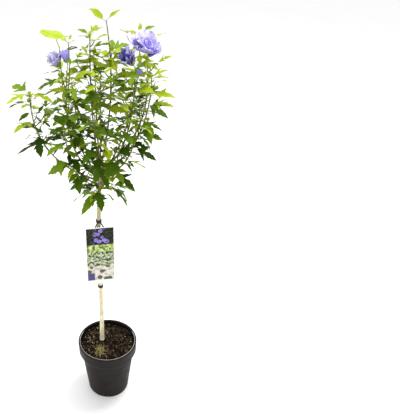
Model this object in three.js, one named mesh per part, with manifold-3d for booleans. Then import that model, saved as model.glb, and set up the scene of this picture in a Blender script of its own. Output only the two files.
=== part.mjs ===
// Rose of sharon (Hibiscus syriacus): a young plant with double violet blossom, trained on one
// bare stem, in a round nursery pot, with its picture card and ties.
// Millimetres, +Z up. The origin is the middle of the pot's flat underside, and -Y is the front.
import * as THREE from "three";
import { mergeVertices } from "three/addons/utils/BufferGeometryUtils.js";
import Module from "manifold-3d";

const wasm = await Module();
wasm.setup();

// ---------------------------------------------------------------- driving dimensions

const CLEARANCE = 0.3; // clearance between pieces that touch
const SLIVER = 0.15; // facets thinner than this are merged with their neighbours

const POT = {
  height: 183,
  rimRadius: 87.5,
  collarFoot: 150, // height of the collar's lower edge
  collarFootRadius: 86.2,
  shoulder: 143, // height at which the plain wall starts under the collar
  shoulderRadius: 78,
  baseRadius: 61,
  footChamfer: 3,
  wall: 2,
  floor: 3,
  sides: 36,
  drains: 8,
  drainRadius: 6,
  drainCircle: 40,
};

const SOIL = { top: 171, lump: 2.4, seat: 26, fade: 14, play: 0.15, rings: 6, sides: 28 };

const TRUNK = {
  foot: [-17.2, 14],
  head: [-7, 2],
  top: 776,
  footRadius: 6.4,
  headRadius: 4.9,
  flare: 0.9, // what the root flare adds at the soil
  flareHeight: 12,
  swell: 0.5, // and what the swell where the boughs leave it adds
  swellHeight: 742,
  swellReach: 26,
  sway: 1.6,
  swayBends: 2.4,
  sides: 10,
  steps: 22,
};

const BOUGH = { radius: 2.6, tipRadius: 1.7, sides: 5, steps: 7 };
const TWIG = { tipRadius: 0.8, forkRadius: 1.2, sides: 3, steps: 7, forkSteps: 3 };

// The side twigs of a stem: where they leave it, how long they are, how far of that they reach out
// and up, and the size of their leaves against the stem's.
const SPRIG = { at: [0.16, 0.52], length: [34, 52], out: 0.62, up: 0.78, elbow: [0.8, 0.35], leafSize: 0.8 };

// The outline of half a blade, as shares of its length: along it, and out from the midrib.
const LEAF = {
  outline: [
    [0.38, 0.42],
    [0.46, 0.2],
    [0.68, 0.22],
  ],
  // The balls that stand for a blade where it is kept clear of others: along, out, and radius.
  balls: [
    [0.08, 0, 0.06],
    [0.23, 0, 0.09],
    [0.41, 0, 0.1],
    [0.59, 0, 0.1],
    [0.77, 0, 0.09],
    [0.94, 0, 0.06],
    [0.3, 0.16, 0.09],
    [0.37, 0.31, 0.08],
    [0.39, 0.42, 0.04],
    [0.63, 0.15, 0.08],
  ],
  crest: 0.46, // where along it the blade is thickest
  thickness: 0.03,
  petiole: 0.28,
  petioleRadius: 0.8,
  fold: 0.22, // how much each half rises from the midrib
  droop: 0.16, // how much the tip hangs
  lowPitch: -62, // degrees, how a leaf at the foot of the canopy hangs
  highPitch: 12,
  pitchBend: 0.5, // how soon on the way up the leaves grow level
};

// How much a leaf may differ from its neighbours, along a stem and at its tip, in degrees and as a
// share of its length.
const VARIETY = {
  along: { azimuth: 22, pitch: 16, twist: 36, length: [0.84, 1.1] },
  tip: { azimuth: 14, pitch: 10, twist: 18, length: [0.85, 1.1] },
};

const PETAL = {
  outline: [
    [0, 0.06],
    [0.3, 0.2],
    [0.76, 0.46],
    [1.0, 0.28],
  ],
  notch: 0.93,
  cup: 0.1, // how much its edges rise
  crest: 0.6, // where along it the petal is thickest
  thickness: 0.03,
  turn: 13, // degrees, how much each petal is turned on its own length, to lie over the next
};

const CANOPY = {
  foot: 640,
  top: 1060,
  goldenAngle: 137.5,
  room: 120, // the furthest that a leaf may reach from its own mass's stem
  clear: 1.3, // least distance kept to another mass or limb
  ownShare: 0.8, // how close two leaves of one mass may come, against their full reach
  spacing: 3.5, // between the balls that stand for a limb
  turns: [0, 38, -38, 76, -76, 115, -115, 155], // degrees, where a leaf that would touch is tried
};

const CARD = {
  width: 78,
  height: 183,
  thickness: 0.7,
  corner: 4,
  top: 589,
  across: 3, // to the right of the trunk's middle
  standOff: 14, // in front of it
  turn: 9, // degrees, its right edge further back
  holeSpan: 26,
  holeDrop: 7,
  holeRadius: 2.3,
};

const STRAP = { height: 601, band: 9, wall: 2.2, leg: 3.8, peg: 1.8, proud: 1.6 };
const TIE = { height: 382, band: 8, wall: 2, knot: 7 };

// One row for each stem. It leaves the trunk at the height `from` towards `azimuth` (degrees, 0 is
// +X and 90 is +Y), and its tip is `spread` out from there at the height `top`. `elbow` is what its
// bend is drawn towards: out as a share of spread, and up as a share of the rise. The share `bare`
// of it is the bough, and the rest is the stem of a mass with `leaves` nodes of leaves `size` long.
const STEMS = [
  { name: "far_left", from: 722, azimuth: 187, spread: 154, top: 950, elbow: [1.04, 0.26],
    bare: 0.5, leaves: 6, size: 58, phase: 194, tip: "fan", seed: 11 },
  { name: "tall_left", from: 741, azimuth: 176, spread: 66, top: 1014, elbow: [1.5, 0.12],
    bare: 0.42, leaves: 7, size: 58, phase: 200, tip: "none", seed: 23 },
  { name: "back_left", from: 730, azimuth: 138, spread: 122, top: 972, elbow: [0.98, 0.34],
    bare: 0.34, leaves: 7, size: 58, phase: 100, tip: "pair", seed: 31 },
  { name: "mid_left", from: 752, azimuth: 205, spread: 62, top: 985, elbow: [0.9, 0.3],
    bare: 0.28, leaves: 7, size: 56, phase: 40, tip: "pair", seed: 43 },
  { name: "front_left", from: 711, azimuth: 222, spread: 98, top: 892, elbow: [0.95, 0.3],
    bare: 0.25, leaves: 7, size: 60, phase: 250, tip: "pair", seed: 57 },
  { name: "front", from: 732, azimuth: 268, spread: 82, top: 925, elbow: [0.95, 0.35],
    bare: 0.22, leaves: 7, size: 58, phase: 132, tip: "pair", seed: 61 },
  { name: "front_right", from: 713, azimuth: 306, spread: 96, top: 902, elbow: [0.95, 0.3],
    bare: 0.25, leaves: 6, size: 60, phase: 330, tip: "pair", seed: 71 },
  { name: "middle", from: 757, azimuth: 282, spread: 40, top: 1002, elbow: [0.8, 0.4],
    bare: 0.24, leaves: 9, size: 56, phase: 10, tip: "pair", seed: 83 },
  { name: "young_left", from: 762, azimuth: 124, spread: 28, top: 1080, elbow: [1.6, 0.3],
    bare: 0.5, leaves: 7, size: 52, phase: 330, tip: "whorl", seed: 97 },
  { name: "leader", from: 756, azimuth: 44, spread: 30, top: 1108, elbow: [2.1, 0.5],
    bare: 0.46, leaves: 6, size: 56, phase: 10, tip: "shoot", seed: 101, leafEnd: 0.66 },
  { name: "back", from: 742, azimuth: 96, spread: 118, top: 998, elbow: [0.98, 0.32],
    bare: 0.3, leaves: 8, size: 58, phase: 80, tip: "pair", seed: 113 },
  { name: "back_right", from: 730, azimuth: 41, spread: 132, top: 1066, elbow: [0.98, 0.3],
    bare: 0.36, leaves: 7, size: 60, phase: 10, tip: "whorl", seed: 127 },
  { name: "violet_right", from: 748, azimuth: 342, spread: 90, top: 1017, elbow: [1.0, 0.24],
    bare: 0.44, leaves: 7, size: 56, phase: 334, tip: "none", seed: 131 },
  { name: "bloom_right", from: 754, azimuth: 14, spread: 116, top: 1017, elbow: [1.2, 0.3],
    bare: 0.46, leaves: 7, size: 56, phase: 0, tip: "none", seed: 149 },
  { name: "far_right", from: 738, azimuth: 0, spread: 124, top: 990, elbow: [1.0, 0.3],
    bare: 0.44, leaves: 7, size: 56, phase: 350, tip: "pair", seed: 157 },
  { name: "low_right", from: 728, azimuth: 334, spread: 102, top: 905, elbow: [1.0, 0.3],
    bare: 0.34, leaves: 6, size: 52, phase: 20, tip: "pair", seed: 167},
];

// Short leafy shoots that grow straight out of the trunk under the boughs.
const LOW_SHOOTS = [
  { name: "foot_front", from: 692, azimuth: 255, spread: 30, top: 712, elbow: [0.7, 0.3],
    leaves: 5, size: 66, phase: 215, tip: "pair", seed: 173 },
  { name: "foot_left", from: 706, azimuth: 214, spread: 40, top: 736, elbow: [0.7, 0.3],
    leaves: 3, size: 62, phase: 190, tip: "pair", seed: 181 },
  { name: "foot_right", from: 700, azimuth: 328, spread: 36, top: 718, elbow: [0.7, 0.3],
    leaves: 4, size: 64, phase: 340, tip: "pair", seed: 193 },
  { name: "foot_back", from: 696, azimuth: 80, spread: 38, top: 722, elbow: [0.7, 0.3],
    leaves: 2, size: 62, phase: 70, tip: "pair", seed: 199 },
];

// Thin shoots that fork from a stem, at a share of its length.
const FORKS = [
  { on: "tall_left", at: 0.76, azimuth: 186, spread: 9, top: 1053, elbow: [1.3, 0.4],
    leaves: 0, size: 92, phase: 123, tip: "broad" },
  { on: "tall_left", at: 0.72, azimuth: 350, spread: 12, top: 1066, elbow: [1.2, 0.3],
    leaves: 2, size: 36, phase: 60, tip: "whorl" },
];

// What ends a stem or fork: how many leaves, from where and over what arc, their size, their pitch,
// and how far they are open to the front.
const TIPS = {
  none: { leaves: 0, start: 0, arc: 0, share: 0, pitch: 0, open: 0 },
  pair: { leaves: 2, start: 0, arc: 180, share: 0.66, pitch: 30, open: 12 },
  fan: { leaves: 3, start: -55, arc: 110, share: 0.9, pitch: -4, open: 18 },
  shoot: { leaves: 2, start: 0, arc: 180, share: 0.62, pitch: 40, open: 48 },
  whorl: { leaves: 4, start: 0, arc: 270, share: 0.54, pitch: 30, open: 34 },
  broad: { leaves: 1, start: 0, arc: 0, share: 1, pitch: 20, open: -24 },
};

// Blossom: on which stem or fork and where, which way it faces, its stalk and its width.
const BLOSSOM = [
  { on: "bloom_right", fork: -1, at: 1, azimuth: 300, lift: 72, stalk: 19, width: 100, kind: "open" },
  { on: "violet_right", fork: -1, at: 1, azimuth: 196, lift: 56, stalk: 8, width: 62, kind: "half" },
  { on: "tall_left", fork: 0, at: 0.58, azimuth: 186, lift: 60, stalk: 7, width: 60, kind: "half" },
  { on: "tall_left", fork: -1, at: 1, azimuth: 190, lift: 80, stalk: 6, width: 21, kind: "rolled" },
  { on: "back", fork: -1, at: 0.9, azimuth: 84, lift: 50, stalk: 12, width: 10, kind: "bud" },
  { on: "violet_right", fork: -1, at: 1, azimuth: 350, lift: -42, stalk: 2, width: 14, kind: "rolled" },
  { on: "back_left", fork: -1, at: 0.9, azimuth: 120, lift: 60, stalk: 14, width: 9, kind: "bud" },
  { on: "far_left", fork: -1, at: 0.9, azimuth: 270, lift: 40, stalk: 12, width: 8, kind: "bud" },
];

// The ball that a flower keeps clear of leaves: its middle's distance and its reach, as shares of
// the flower's width.
const BLOSSOM_ROOM = {
  open: { middle: 0.34, reach: 0.42 },
  half: { middle: 0.42, reach: 0.42 },
  rolled: { middle: 0.8, reach: 0.7 },
  bud: { middle: 0.8, reach: 0.7 },
};

// The two rings of petals of an open and of a half-open flower: how many, their lean at the foot
// and at the tip, their length as a share of the flower's width, their own width against a broad
// petal's, and how far the ring is turned.
const RINGS = {
  open: [
    { count: 5, lean: 72, flare: 36, share: 0.52, broad: 1, turn: 0 },
    { count: 4, lean: 40, flare: 30, share: 0.42, broad: 0.95, turn: 36 },
  ],
  half: [
    { count: 5, lean: 30, flare: 50, share: 0.54, broad: 0.72, turn: 0 },
    { count: 3, lean: 4, flare: 24, share: 0.64, broad: 0.5, turn: 36 },
  ],
};

// ---------------------------------------------------------------- the plant's rule of growth

const radians = THREE.MathUtils.degToRad;
const lerp = THREE.MathUtils.lerp;
const UP = new THREE.Vector3(0, 0, 1);

// A repeatable series of numbers for one mass.
class Dice {
  constructor(seed) {
    this.state = seed;
    for (let i = 0; i < 3; i++) this.draw();
  }
  draw() {
    this.state = (this.state * 48271) % 2147483647;
    return this.state / 2147483647;
  }
  between(low, high) {
    return low + (high - low) * this.draw();
  }
  within(reach) {
    return this.between(-reach, reach);
  }
}

// The level direction of an azimuth in degrees.
function outward(azimuth) {
  return new THREE.Vector3(Math.cos(radians(azimuth)), Math.sin(radians(azimuth)), 0);
}

// A direction from its azimuth and its pitch above the level, in degrees.
function heading(azimuth, pitch) {
  return outward(azimuth)
    .multiplyScalar(Math.cos(radians(pitch)))
    .addScaledVector(UP, Math.sin(radians(pitch)));
}

// A stretch of stem: a curve, the shares of it that are used, its radii, and a level side vector.
class Limb {
  constructor(curve, side, from, to, radius, tipRadius) {
    Object.assign(this, { curve, side, from, to, radius, tipRadius });
  }
  point(share) {
    return this.curve.getPoint(lerp(this.from, this.to, share));
  }
  direction(share) {
    return this.curve.getTangent(lerp(this.from, this.to, share));
  }
  radiusAt(share) {
    return lerp(this.radius, this.tipRadius, share);
  }
  length() {
    return this.curve.getLength() * (this.to - this.from);
  }
  balls(spacing) {
    const count = Math.max(2, Math.ceil(this.length() / spacing));
    return Array.from({ length: count + 1 }, (_, i) => {
      const centre = this.point(i / count);
      return { centre, radius: this.radiusAt(i / count), near: false };
    });
  }
}

// The curve of a stem that starts at a point and bends up to its tip.
function bend(start, row) {
  const out = outward(row.azimuth);
  const rise = row.top - start.z;
  const { elbow } = row;
  return new THREE.QuadraticBezierCurve3(
    start,
    start.clone().addScaledVector(out, row.spread * elbow[0]).addScaledVector(UP, rise * elbow[1]),
    start.clone().addScaledVector(out, row.spread).addScaledVector(UP, rise),
  );
}

// The middle of the trunk at a height.
function trunkMiddle(height) {
  const share = (height - SOIL.top) / (TRUNK.top - SOIL.top);
  const sway = TRUNK.sway * Math.sin(share * Math.PI * TRUNK.swayBends);
  return new THREE.Vector3(
    lerp(TRUNK.foot[0], TRUNK.head[0], share ** 3) + sway,
    lerp(TRUNK.foot[1], TRUNK.head[1], share) - 0.6 * sway,
    height,
  );
}

// The trunk's radius at a height: an even taper, a flare at the soil and a slight swell at its head.
function trunkRadius(height) {
  const share = (height - SOIL.top) / (TRUNK.top - SOIL.top);
  const flare = TRUNK.flare * Math.exp(-(height - SOIL.top) / TRUNK.flareHeight);
  const swell = TRUNK.swell * Math.exp(-(((height - TRUNK.swellHeight) / TRUNK.swellReach) ** 2));
  return lerp(TRUNK.footRadius, TRUNK.headRadius, share) + flare + swell;
}

// What has been placed so far, as balls, each with the name of its owner.
class Space {
  constructor() {
    this.taken = [];
  }
  add(balls, owner, leafy = false) {
    for (const ball of balls) this.taken.push({ ...ball, owner, leafy });
  }
  // Whether new balls of an owner touch nothing: its own leaves may come a little closer.
  clear(balls, owner) {
    return balls.every((ball) =>
      this.taken.every((other) => {
        if (other.owner === owner && (ball.near || other.near)) return true;
        const reach = ball.radius + other.radius;
        const own = other.leafy ? CANOPY.ownShare * reach : reach;
        const wanted = other.owner === owner ? own : reach + CANOPY.clear;
        return ball.centre.distanceToSquared(other.centre) > wanted * wanted;
      }),
    );
  }
}

// A leaf: where it is rooted, how long its blade is, and the frame of its blade.
class Leaf {
  constructor(root, along, azimuth, pitch, twist, length) {
    this.root = root;
    this.length = length;
    this.petiole = length * LEAF.petiole;
    const rising = outward(azimuth).multiplyScalar(0.8).addScaledVector(along, 0.6).normalize();
    this.base = root.clone().addScaledVector(rising, this.petiole);
    this.forward = heading(azimuth, pitch);
    this.across = outward(azimuth - 90).applyAxisAngle(this.forward, radians(twist));
    this.normal = this.across.clone().cross(this.forward);
  }
  // A point of the blade, from shares of its length along and across.
  at(along, across) {
    const lift = LEAF.fold * Math.abs(across) - LEAF.droop * along * along;
    return this.base
      .clone()
      .addScaledVector(this.forward, along * this.length)
      .addScaledVector(this.across, across * this.length)
      .addScaledVector(this.normal, lift * this.length);
  }
  balls() {
    const blade = LEAF.balls.flatMap(([along, out, radius]) =>
      (out > 0 ? [out, -out] : [0]).map((across) => {
        return { centre: this.at(along, across), radius: radius * this.length, near: along < 0.15 };
      }),
    );
    const stalk = [0.2, 0.4, 0.6, 0.8, 1].map((share) => {
      const centre = this.root.clone().lerp(this.base, share);
      return { centre, radius: LEAF.petioleRadius, near: true };
    });
    return [...blade, ...stalk];
  }
}

// One mass of foliage: a stem, its twigs, leaves and blossom.
class Mass {
  constructor(row, stem, dice) {
    Object.assign(this, { row, stem, dice, twigs: [], forks: [], leaves: [], blossom: [] });
  }
  // Places one leaf on a limb, turned round it until it touches nothing, or skips it.
  sprout(space, limb, share, azimuth, pitch, twist, length) {
    const root = limb.point(share);
    for (const turn of CANOPY.turns) {
      const leaf = new Leaf(root, limb.direction(share), azimuth + turn, pitch, twist, length);
      const balls = leaf.balls();
      if (!balls.every((ball) => ball.centre.distanceTo(root) < CANOPY.room)) continue;
      if (!space.clear(balls, this.row.name)) continue;
      space.add(balls, this.row.name, true);
      this.leaves.push(leaf);
      return;
    }
  }
  // Forks one side twig from the stem, where it touches nothing.
  sprigOut(space, share, i) {
    const { row, stem, dice } = this;
    const azimuth = row.phase + 80 + i * CANOPY.goldenAngle + dice.within(30);
    const length = dice.between(...SPRIG.length);
    const start = stem.point(share);
    const top = start.z + length * SPRIG.up;
    const curve = bend(start, { azimuth, spread: length * SPRIG.out, top, elbow: SPRIG.elbow });
    const limb = new Limb(curve, outward(azimuth - 90), 0, 1, TWIG.forkRadius, TWIG.tipRadius);
    const balls = limb.balls(CANOPY.spacing);
    for (const ball of balls.slice(0, 2)) ball.near = true;
    if (!space.clear(balls, row.name)) return;
    space.add(balls, row.name);
    this.twigs.push(limb);
    const leafy = { leaves: 1, size: row.size * SPRIG.leafSize, phase: azimuth + 70, tip: "pair" };
    this.forks.push({ row: leafy, limb });
  }
  // The leaves that end a limb.
  crownTip(space, limb, row) {
    const tip = TIPS[row.tip];
    const vary = VARIETY.tip;
    for (let i = 0; i < tip.leaves; i++) {
      const turn = tip.start + (tip.arc * i) / Math.max(1, tip.leaves - 1);
      const azimuth = row.phase + turn + this.dice.within(vary.azimuth);
      const pitch = tip.pitch + this.dice.within(vary.pitch);
      const open = tip.open * Math.sign(Math.cos(radians(azimuth)));
      const twist = open + this.dice.within(vary.twist);
      const length = row.size * tip.share * this.dice.between(...vary.length);
      this.sprout(space, limb, 1 - 0.012 * i, azimuth, pitch, twist, length);
    }
  }
  // The leaves along a limb, one at each node, in a spiral.
  leafOut(space, limb, row, first, last) {
    const vary = VARIETY.along;
    for (let i = 0; i < row.leaves; i++) {
      const t = (i + 0.5) / row.leaves;
      const share = lerp(first, last, t);
      const rise = (limb.point(share).z - CANOPY.foot) / (CANOPY.top - CANOPY.foot);
      const height = THREE.MathUtils.clamp(rise, 0, 1);
      const azimuth = row.phase + i * CANOPY.goldenAngle + this.dice.within(vary.azimuth);
      const level = height ** LEAF.pitchBend;
      const pitch = lerp(LEAF.lowPitch, LEAF.highPitch, level) + this.dice.within(vary.pitch);
      const twist = this.dice.within(vary.twist);
      const length = row.size * (1.04 - 0.24 * t * t) * this.dice.between(...vary.length);
      this.sprout(space, limb, share, azimuth, pitch, twist, length);
    }
  }
}

// Grows the whole plant: all limbs first, then blossom, then the leaves of one mass after another.
function grow() {
  const space = new Space();
  const boughs = [];
  const masses = [];
  for (let height = SOIL.top; height <= TRUNK.top; height += 2 * CANOPY.spacing) {
    space.add([{ centre: trunkMiddle(height), radius: trunkRadius(height), near: false }], "trunk");
  }

  for (const row of STEMS) {
    const curve = bend(trunkMiddle(row.from), row);
    const side = outward(row.azimuth - 90);
    const halfGap = CLEARANCE / 2 / curve.getLength();
    const bough = new Limb(curve, side, 0, row.bare - halfGap, BOUGH.radius, BOUGH.tipRadius);
    const stem = new Limb(curve, side, row.bare + halfGap, 1, BOUGH.tipRadius, TWIG.tipRadius);
    boughs.push({ name: row.name, limb: bough });
    masses.push(new Mass(row, stem, new Dice(row.seed)));
    space.add(bough.balls(CANOPY.spacing).slice(2), "bough_" + row.name);
    space.add(stem.balls(CANOPY.spacing), row.name);
  }
  for (const row of LOW_SHOOTS) {
    for (const turn of CANOPY.turns) {
      const azimuth = row.azimuth + turn / 2;
      const curve = bend(trunkMiddle(row.from), { ...row, azimuth });
      const stem = new Limb(curve, outward(azimuth - 90), 0, 1, BOUGH.tipRadius, TWIG.tipRadius);
      const balls = stem.balls(CANOPY.spacing).slice(3);
      if (!space.clear(balls, row.name)) continue;
      masses.push(new Mass(row, stem, new Dice(row.seed)));
      space.add(balls, row.name);
      break;
    }
  }

  for (const row of FORKS) {
    const mass = masses.find((m) => m.row.name === row.on);
    const curve = bend(mass.stem.point(row.at), row);
    const fork = new Limb(curve, outward(row.azimuth - 90), 0, 1, TWIG.forkRadius, TWIG.tipRadius);
    mass.forks.push({ row, limb: fork });
    mass.twigs.push(fork);
    space.add(fork.balls(CANOPY.spacing), row.on);
  }
  for (const row of BLOSSOM) {
    const mass = masses.find((m) => m.row.name === row.on);
    const limb = row.fork < 0 ? mass.stem : mass.forks[row.fork].limb;
    const facing = heading(row.azimuth, row.lift);
    const root = limb.point(row.at);
    const base = root.clone().addScaledVector(facing, row.stalk);
    mass.blossom.push({ row, root, base, facing });
    const { middle, reach } = BLOSSOM_ROOM[row.kind];
    const centre = base.clone().addScaledVector(facing, row.width * middle);
    space.add([{ centre, radius: row.width * reach, near: false }], row.on);
  }

  for (const mass of masses) {
    const { row, stem } = mass;
    if (STEMS.includes(row)) SPRIG.at.forEach((share, i) => mass.sprigOut(space, share, i));
    mass.crownTip(space, stem, row);
    for (const fork of mass.forks) {
      mass.crownTip(space, fork.limb, fork.row);
      mass.leafOut(space, fork.limb, fork.row, 0.3, 0.9);
    }
    mass.leafOut(space, stem, row, 0.05, row.leafEnd ?? 0.94);
  }
  return { boughs, masses };
}

// ---------------------------------------------------------------- closed shapes and solids

// A closed geometry from its points and its triangles.
function closedGeometry(points, faces) {
  const geometry = new THREE.BufferGeometry();
  const places = points.flatMap((point) => point.toArray());
  geometry.setAttribute("position", new THREE.Float32BufferAttribute(places, 3));
  geometry.setIndex(faces.flat());
  return geometry;
}

// A closed geometry as a solid.
function solidOf(geometry) {
  const bare = geometry.clone();
  bare.deleteAttribute("normal");
  bare.deleteAttribute("uv");
  const merged = mergeVertices(bare, 1e-4);
  return new wasm.Manifold(
    new wasm.Mesh({
      numProp: 3,
      vertProperties: merged.attributes.position.array,
      triVerts: new Uint32Array(merged.index.array),
    }),
  );
}

// The largest body of a solid: a scrap that came loose and the wall of a sealed hollow are dropped.
function mainBody(solid) {
  const tidy = solid.asOriginal().simplify(SLIVER);
  return tidy.decompose().reduce((best, body) => (body.volume() > best.volume() ? body : best));
}

// A solid as a geometry to draw.
function geometryOf(solid) {
  const mesh = solid.getMesh();
  const geometry = new THREE.BufferGeometry();
  geometry.setAttribute("position", new THREE.BufferAttribute(mesh.vertProperties.slice(), 3));
  geometry.setIndex(new THREE.BufferAttribute(mesh.triVerts.slice(), 1));
  geometry.computeVertexNormals();
  return geometry;
}

// A tapering tube with flat ends, swept through rings of points.
function tube(centres, directions, radii, side, sides) {
  const points = [];
  const faces = [];
  centres.forEach((centre, i) => {
    const along = directions[i];
    const right = side.clone().addScaledVector(along, -along.dot(side)).normalize();
    const top = along.clone().cross(right);
    for (let k = 0; k < sides; k++) {
      const angle = (2 * Math.PI * k) / sides;
      points.push(
        centre.clone()
          .addScaledVector(right, radii[i] * Math.cos(angle))
          .addScaledVector(top, radii[i] * Math.sin(angle)),
      );
    }
  });
  for (let i = 0; i + 1 < centres.length; i++) {
    for (let k = 0; k < sides; k++) {
      const next = (k + 1) % sides;
      const [a, b] = [i * sides + k, i * sides + next];
      faces.push([a, b, b + sides], [a, b + sides, a + sides]);
    }
  }
  const last = (centres.length - 1) * sides;
  for (let k = 1; k + 1 < sides; k++) {
    faces.push([0, k + 1, k], [last, last + k, last + k + 1]);
  }
  return closedGeometry(points, faces);
}

// The tube of a limb.
function limbTube(limb, sides, steps) {
  const shares = Array.from({ length: steps + 1 }, (_, i) => i / steps);
  return tube(
    shares.map((s) => limb.point(s)),
    shares.map((s) => limb.direction(s)),
    shares.map((s) => limb.radiusAt(s)),
    limb.side,
    sides,
  );
}

// The trunk, or its outline grown by a clearance to cut other limbs with.
function trunkTube(grown) {
  const heights = [0, 4, 10, 20, 34].map((rise) => SOIL.top + CLEARANCE + rise);
  for (let i = 1; i <= TRUNK.steps; i++) {
    heights.push(lerp(SOIL.top + 34, TRUNK.top, i / TRUNK.steps));
  }
  if (grown > 0) heights[heights.length - 1] += grown;
  return tube(
    heights.map((height) => trunkMiddle(height)),
    heights.map(() => UP),
    heights.map((height) => trunkRadius(height) + grown),
    new THREE.Vector3(1, 0, 0),
    TRUNK.sides,
  );
}

// A thin blade. `rim` runs round it from the root on the right, over the tip, to the root on the
// left. Its upper face has one point, `crest`, and its lower face the points of `keel`, and `hung`
// says which of these each stretch of half the rim hangs on.
function blade(rim, crest, keel, hung) {
  const points = [...rim, crest, ...keel];
  const last = rim.length - 1;
  const top = rim.length;
  const under = top + 1;
  const faces = [
    [0, 1, last - 1],
    [0, last - 1, last],
    [0, last, under],
    [1, top, last - 1],
  ];
  for (const left of [false, true]) {
    const rimAt = (j) => (left ? last - j : j);
    const add = (a, b, c) => faces.push(left ? [a, c, b] : [a, b, c]);
    hung.forEach((keelPoint, j) => {
      if (j > 0) add(top, rimAt(j), rimAt(j + 1));
      if (j > 0 && keelPoint !== hung[j - 1]) add(under + hung[j - 1], under + keelPoint, rimAt(j));
      add(under + keelPoint, rimAt(j + 1), rimAt(j));
    });
  }
  return closedGeometry(points, faces);
}

// A leaf with its petiole, as one closed blade.
function leafGeometry(leaf) {
  const { root, base, across, normal, length } = leaf;
  const stalk = LEAF.petioleRadius;
  const half = (length * LEAF.thickness) / 2;
  const rising = base.clone().sub(root).normalize();
  const rootNormal = across.clone().cross(rising).normalize();
  const neckNormal = rootNormal.clone().add(normal).normalize();
  const rimOf = (sign) => [
    root.clone().addScaledVector(across, sign * stalk),
    base.clone().addScaledVector(across, sign * stalk),
    ...LEAF.outline.map(([along, out]) => leaf.at(along, sign * out)),
  ];
  const rim = [...rimOf(1), leaf.at(1, 0), ...rimOf(-1).reverse()];
  const crest = leaf.at(LEAF.crest, 0).addScaledVector(normal, half);
  const keel = [
    root.clone().addScaledVector(rootNormal, -1.4 * stalk),
    base.clone().addScaledVector(neckNormal, -1.4 * stalk),
    leaf.at(LEAF.crest, 0).addScaledVector(normal, -half),
  ];
  return blade(rim, crest, keel, [0, 1, 2, 2, 2]);
}

// ---------------------------------------------------------------- blossom

// A turned shape of [radius, height] rows, that stands at a point along a direction.
function turned(profile, sides, base, facing) {
  const geometry = new THREE.LatheGeometry(profile.map(([r, h]) => new THREE.Vector2(r, h)), sides);
  const upright = new THREE.Vector3(0, 1, 0);
  geometry.applyQuaternion(new THREE.Quaternion().setFromUnitVectors(upright, facing));
  return geometry.translate(base.x, base.y, base.z);
}

// One petal of a ring: it leaves the middle at the angle `lean` and bends out to `flare`.
function petalGeometry(base, facing, turn, { lean, flare, broad }, length) {
  const away = UP.clone().cross(facing).normalize().applyAxisAngle(facing, radians(turn));
  const across = away.clone().cross(facing).applyAxisAngle(away, radians(PETAL.turn));
  const half = (length * PETAL.thickness) / 2;
  const at = (along, out) => {
    const chord = radians(lerp(lean, flare, along / 2));
    return base
      .clone()
      .addScaledVector(away, length * along * Math.sin(chord))
      .addScaledVector(facing, length * (along * Math.cos(chord) + PETAL.cup * Math.abs(out)))
      .addScaledVector(across, length * out);
  };
  const angle = radians(lerp(lean, flare, PETAL.crest));
  const normal = facing.clone().multiplyScalar(Math.sin(angle)).addScaledVector(away, -Math.cos(angle));
  const rimOf = (sign) => PETAL.outline.map(([along, out]) => at(along, sign * broad * out));
  const rim = [...rimOf(1), at(PETAL.notch, 0), ...rimOf(-1).reverse()];
  const crest = at(PETAL.crest, 0).addScaledVector(normal, half);
  const keel = [0, 0.3, PETAL.crest].map((along) => at(along, 0).addScaledVector(normal, -half));
  return blade(rim, crest, keel, [0, 1, 2, 2]);
}

// The solids of one bloom or bud, with its stalk.
function blossomSolids({ row, root, base, facing }) {
  const { width, kind } = row;
  const side = outward(row.azimuth - 90);
  const calyx = kind === "bud" ? width * 0.5 : Math.min(6, width * 0.34);
  const cup = base.clone().addScaledVector(facing, -1);
  const sepals = [[0, 0], [calyx * 0.8, 2], [calyx, calyx * 1.1], [calyx * 0.7, calyx * 1.9], [0, calyx * 2]];
  const solids = [
    tube([root, base], [facing, facing], [TWIG.forkRadius, TWIG.forkRadius], side, TWIG.sides),
    turned(sepals, 5, cup, facing),
  ];
  if (kind === "bud") {
    solids.push(turned([[0, 0], [calyx * 0.75, calyx], [0, calyx * 3.2]], 6, cup, facing));
  }
  if (kind === "rolled") {
    const r = width / 2;
    const rolled = [[0, 0], [r * 0.45, r * 0.5], [r, r * 1.4], [r * 0.8, r * 2.1], [0, r * 2.5]];
    solids.push(turned(rolled, 7, base, facing));
  }
  for (const ring of RINGS[kind] ?? []) {
    for (let i = 0; i < ring.count; i++) {
      const place = ring.turn + (360 * i) / ring.count;
      solids.push(petalGeometry(base, facing, place, ring, width * ring.share));
    }
  }
  return solids.map(solidOf);
}

// ---------------------------------------------------------------- pot, soil, card and ties

// A LatheGeometry about the Z axis, from [radius, height] rows.
function latheUp(profile, sides) {
  const points = profile.map(([r, h]) => new THREE.Vector2(r, h));
  return new THREE.LatheGeometry(points, sides).rotateX(Math.PI / 2);
}

// The pot's outer radius at a height under its collar.
function potRadius(height) {
  return lerp(POT.baseRadius, POT.shoulderRadius, height / POT.shoulder);
}

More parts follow.
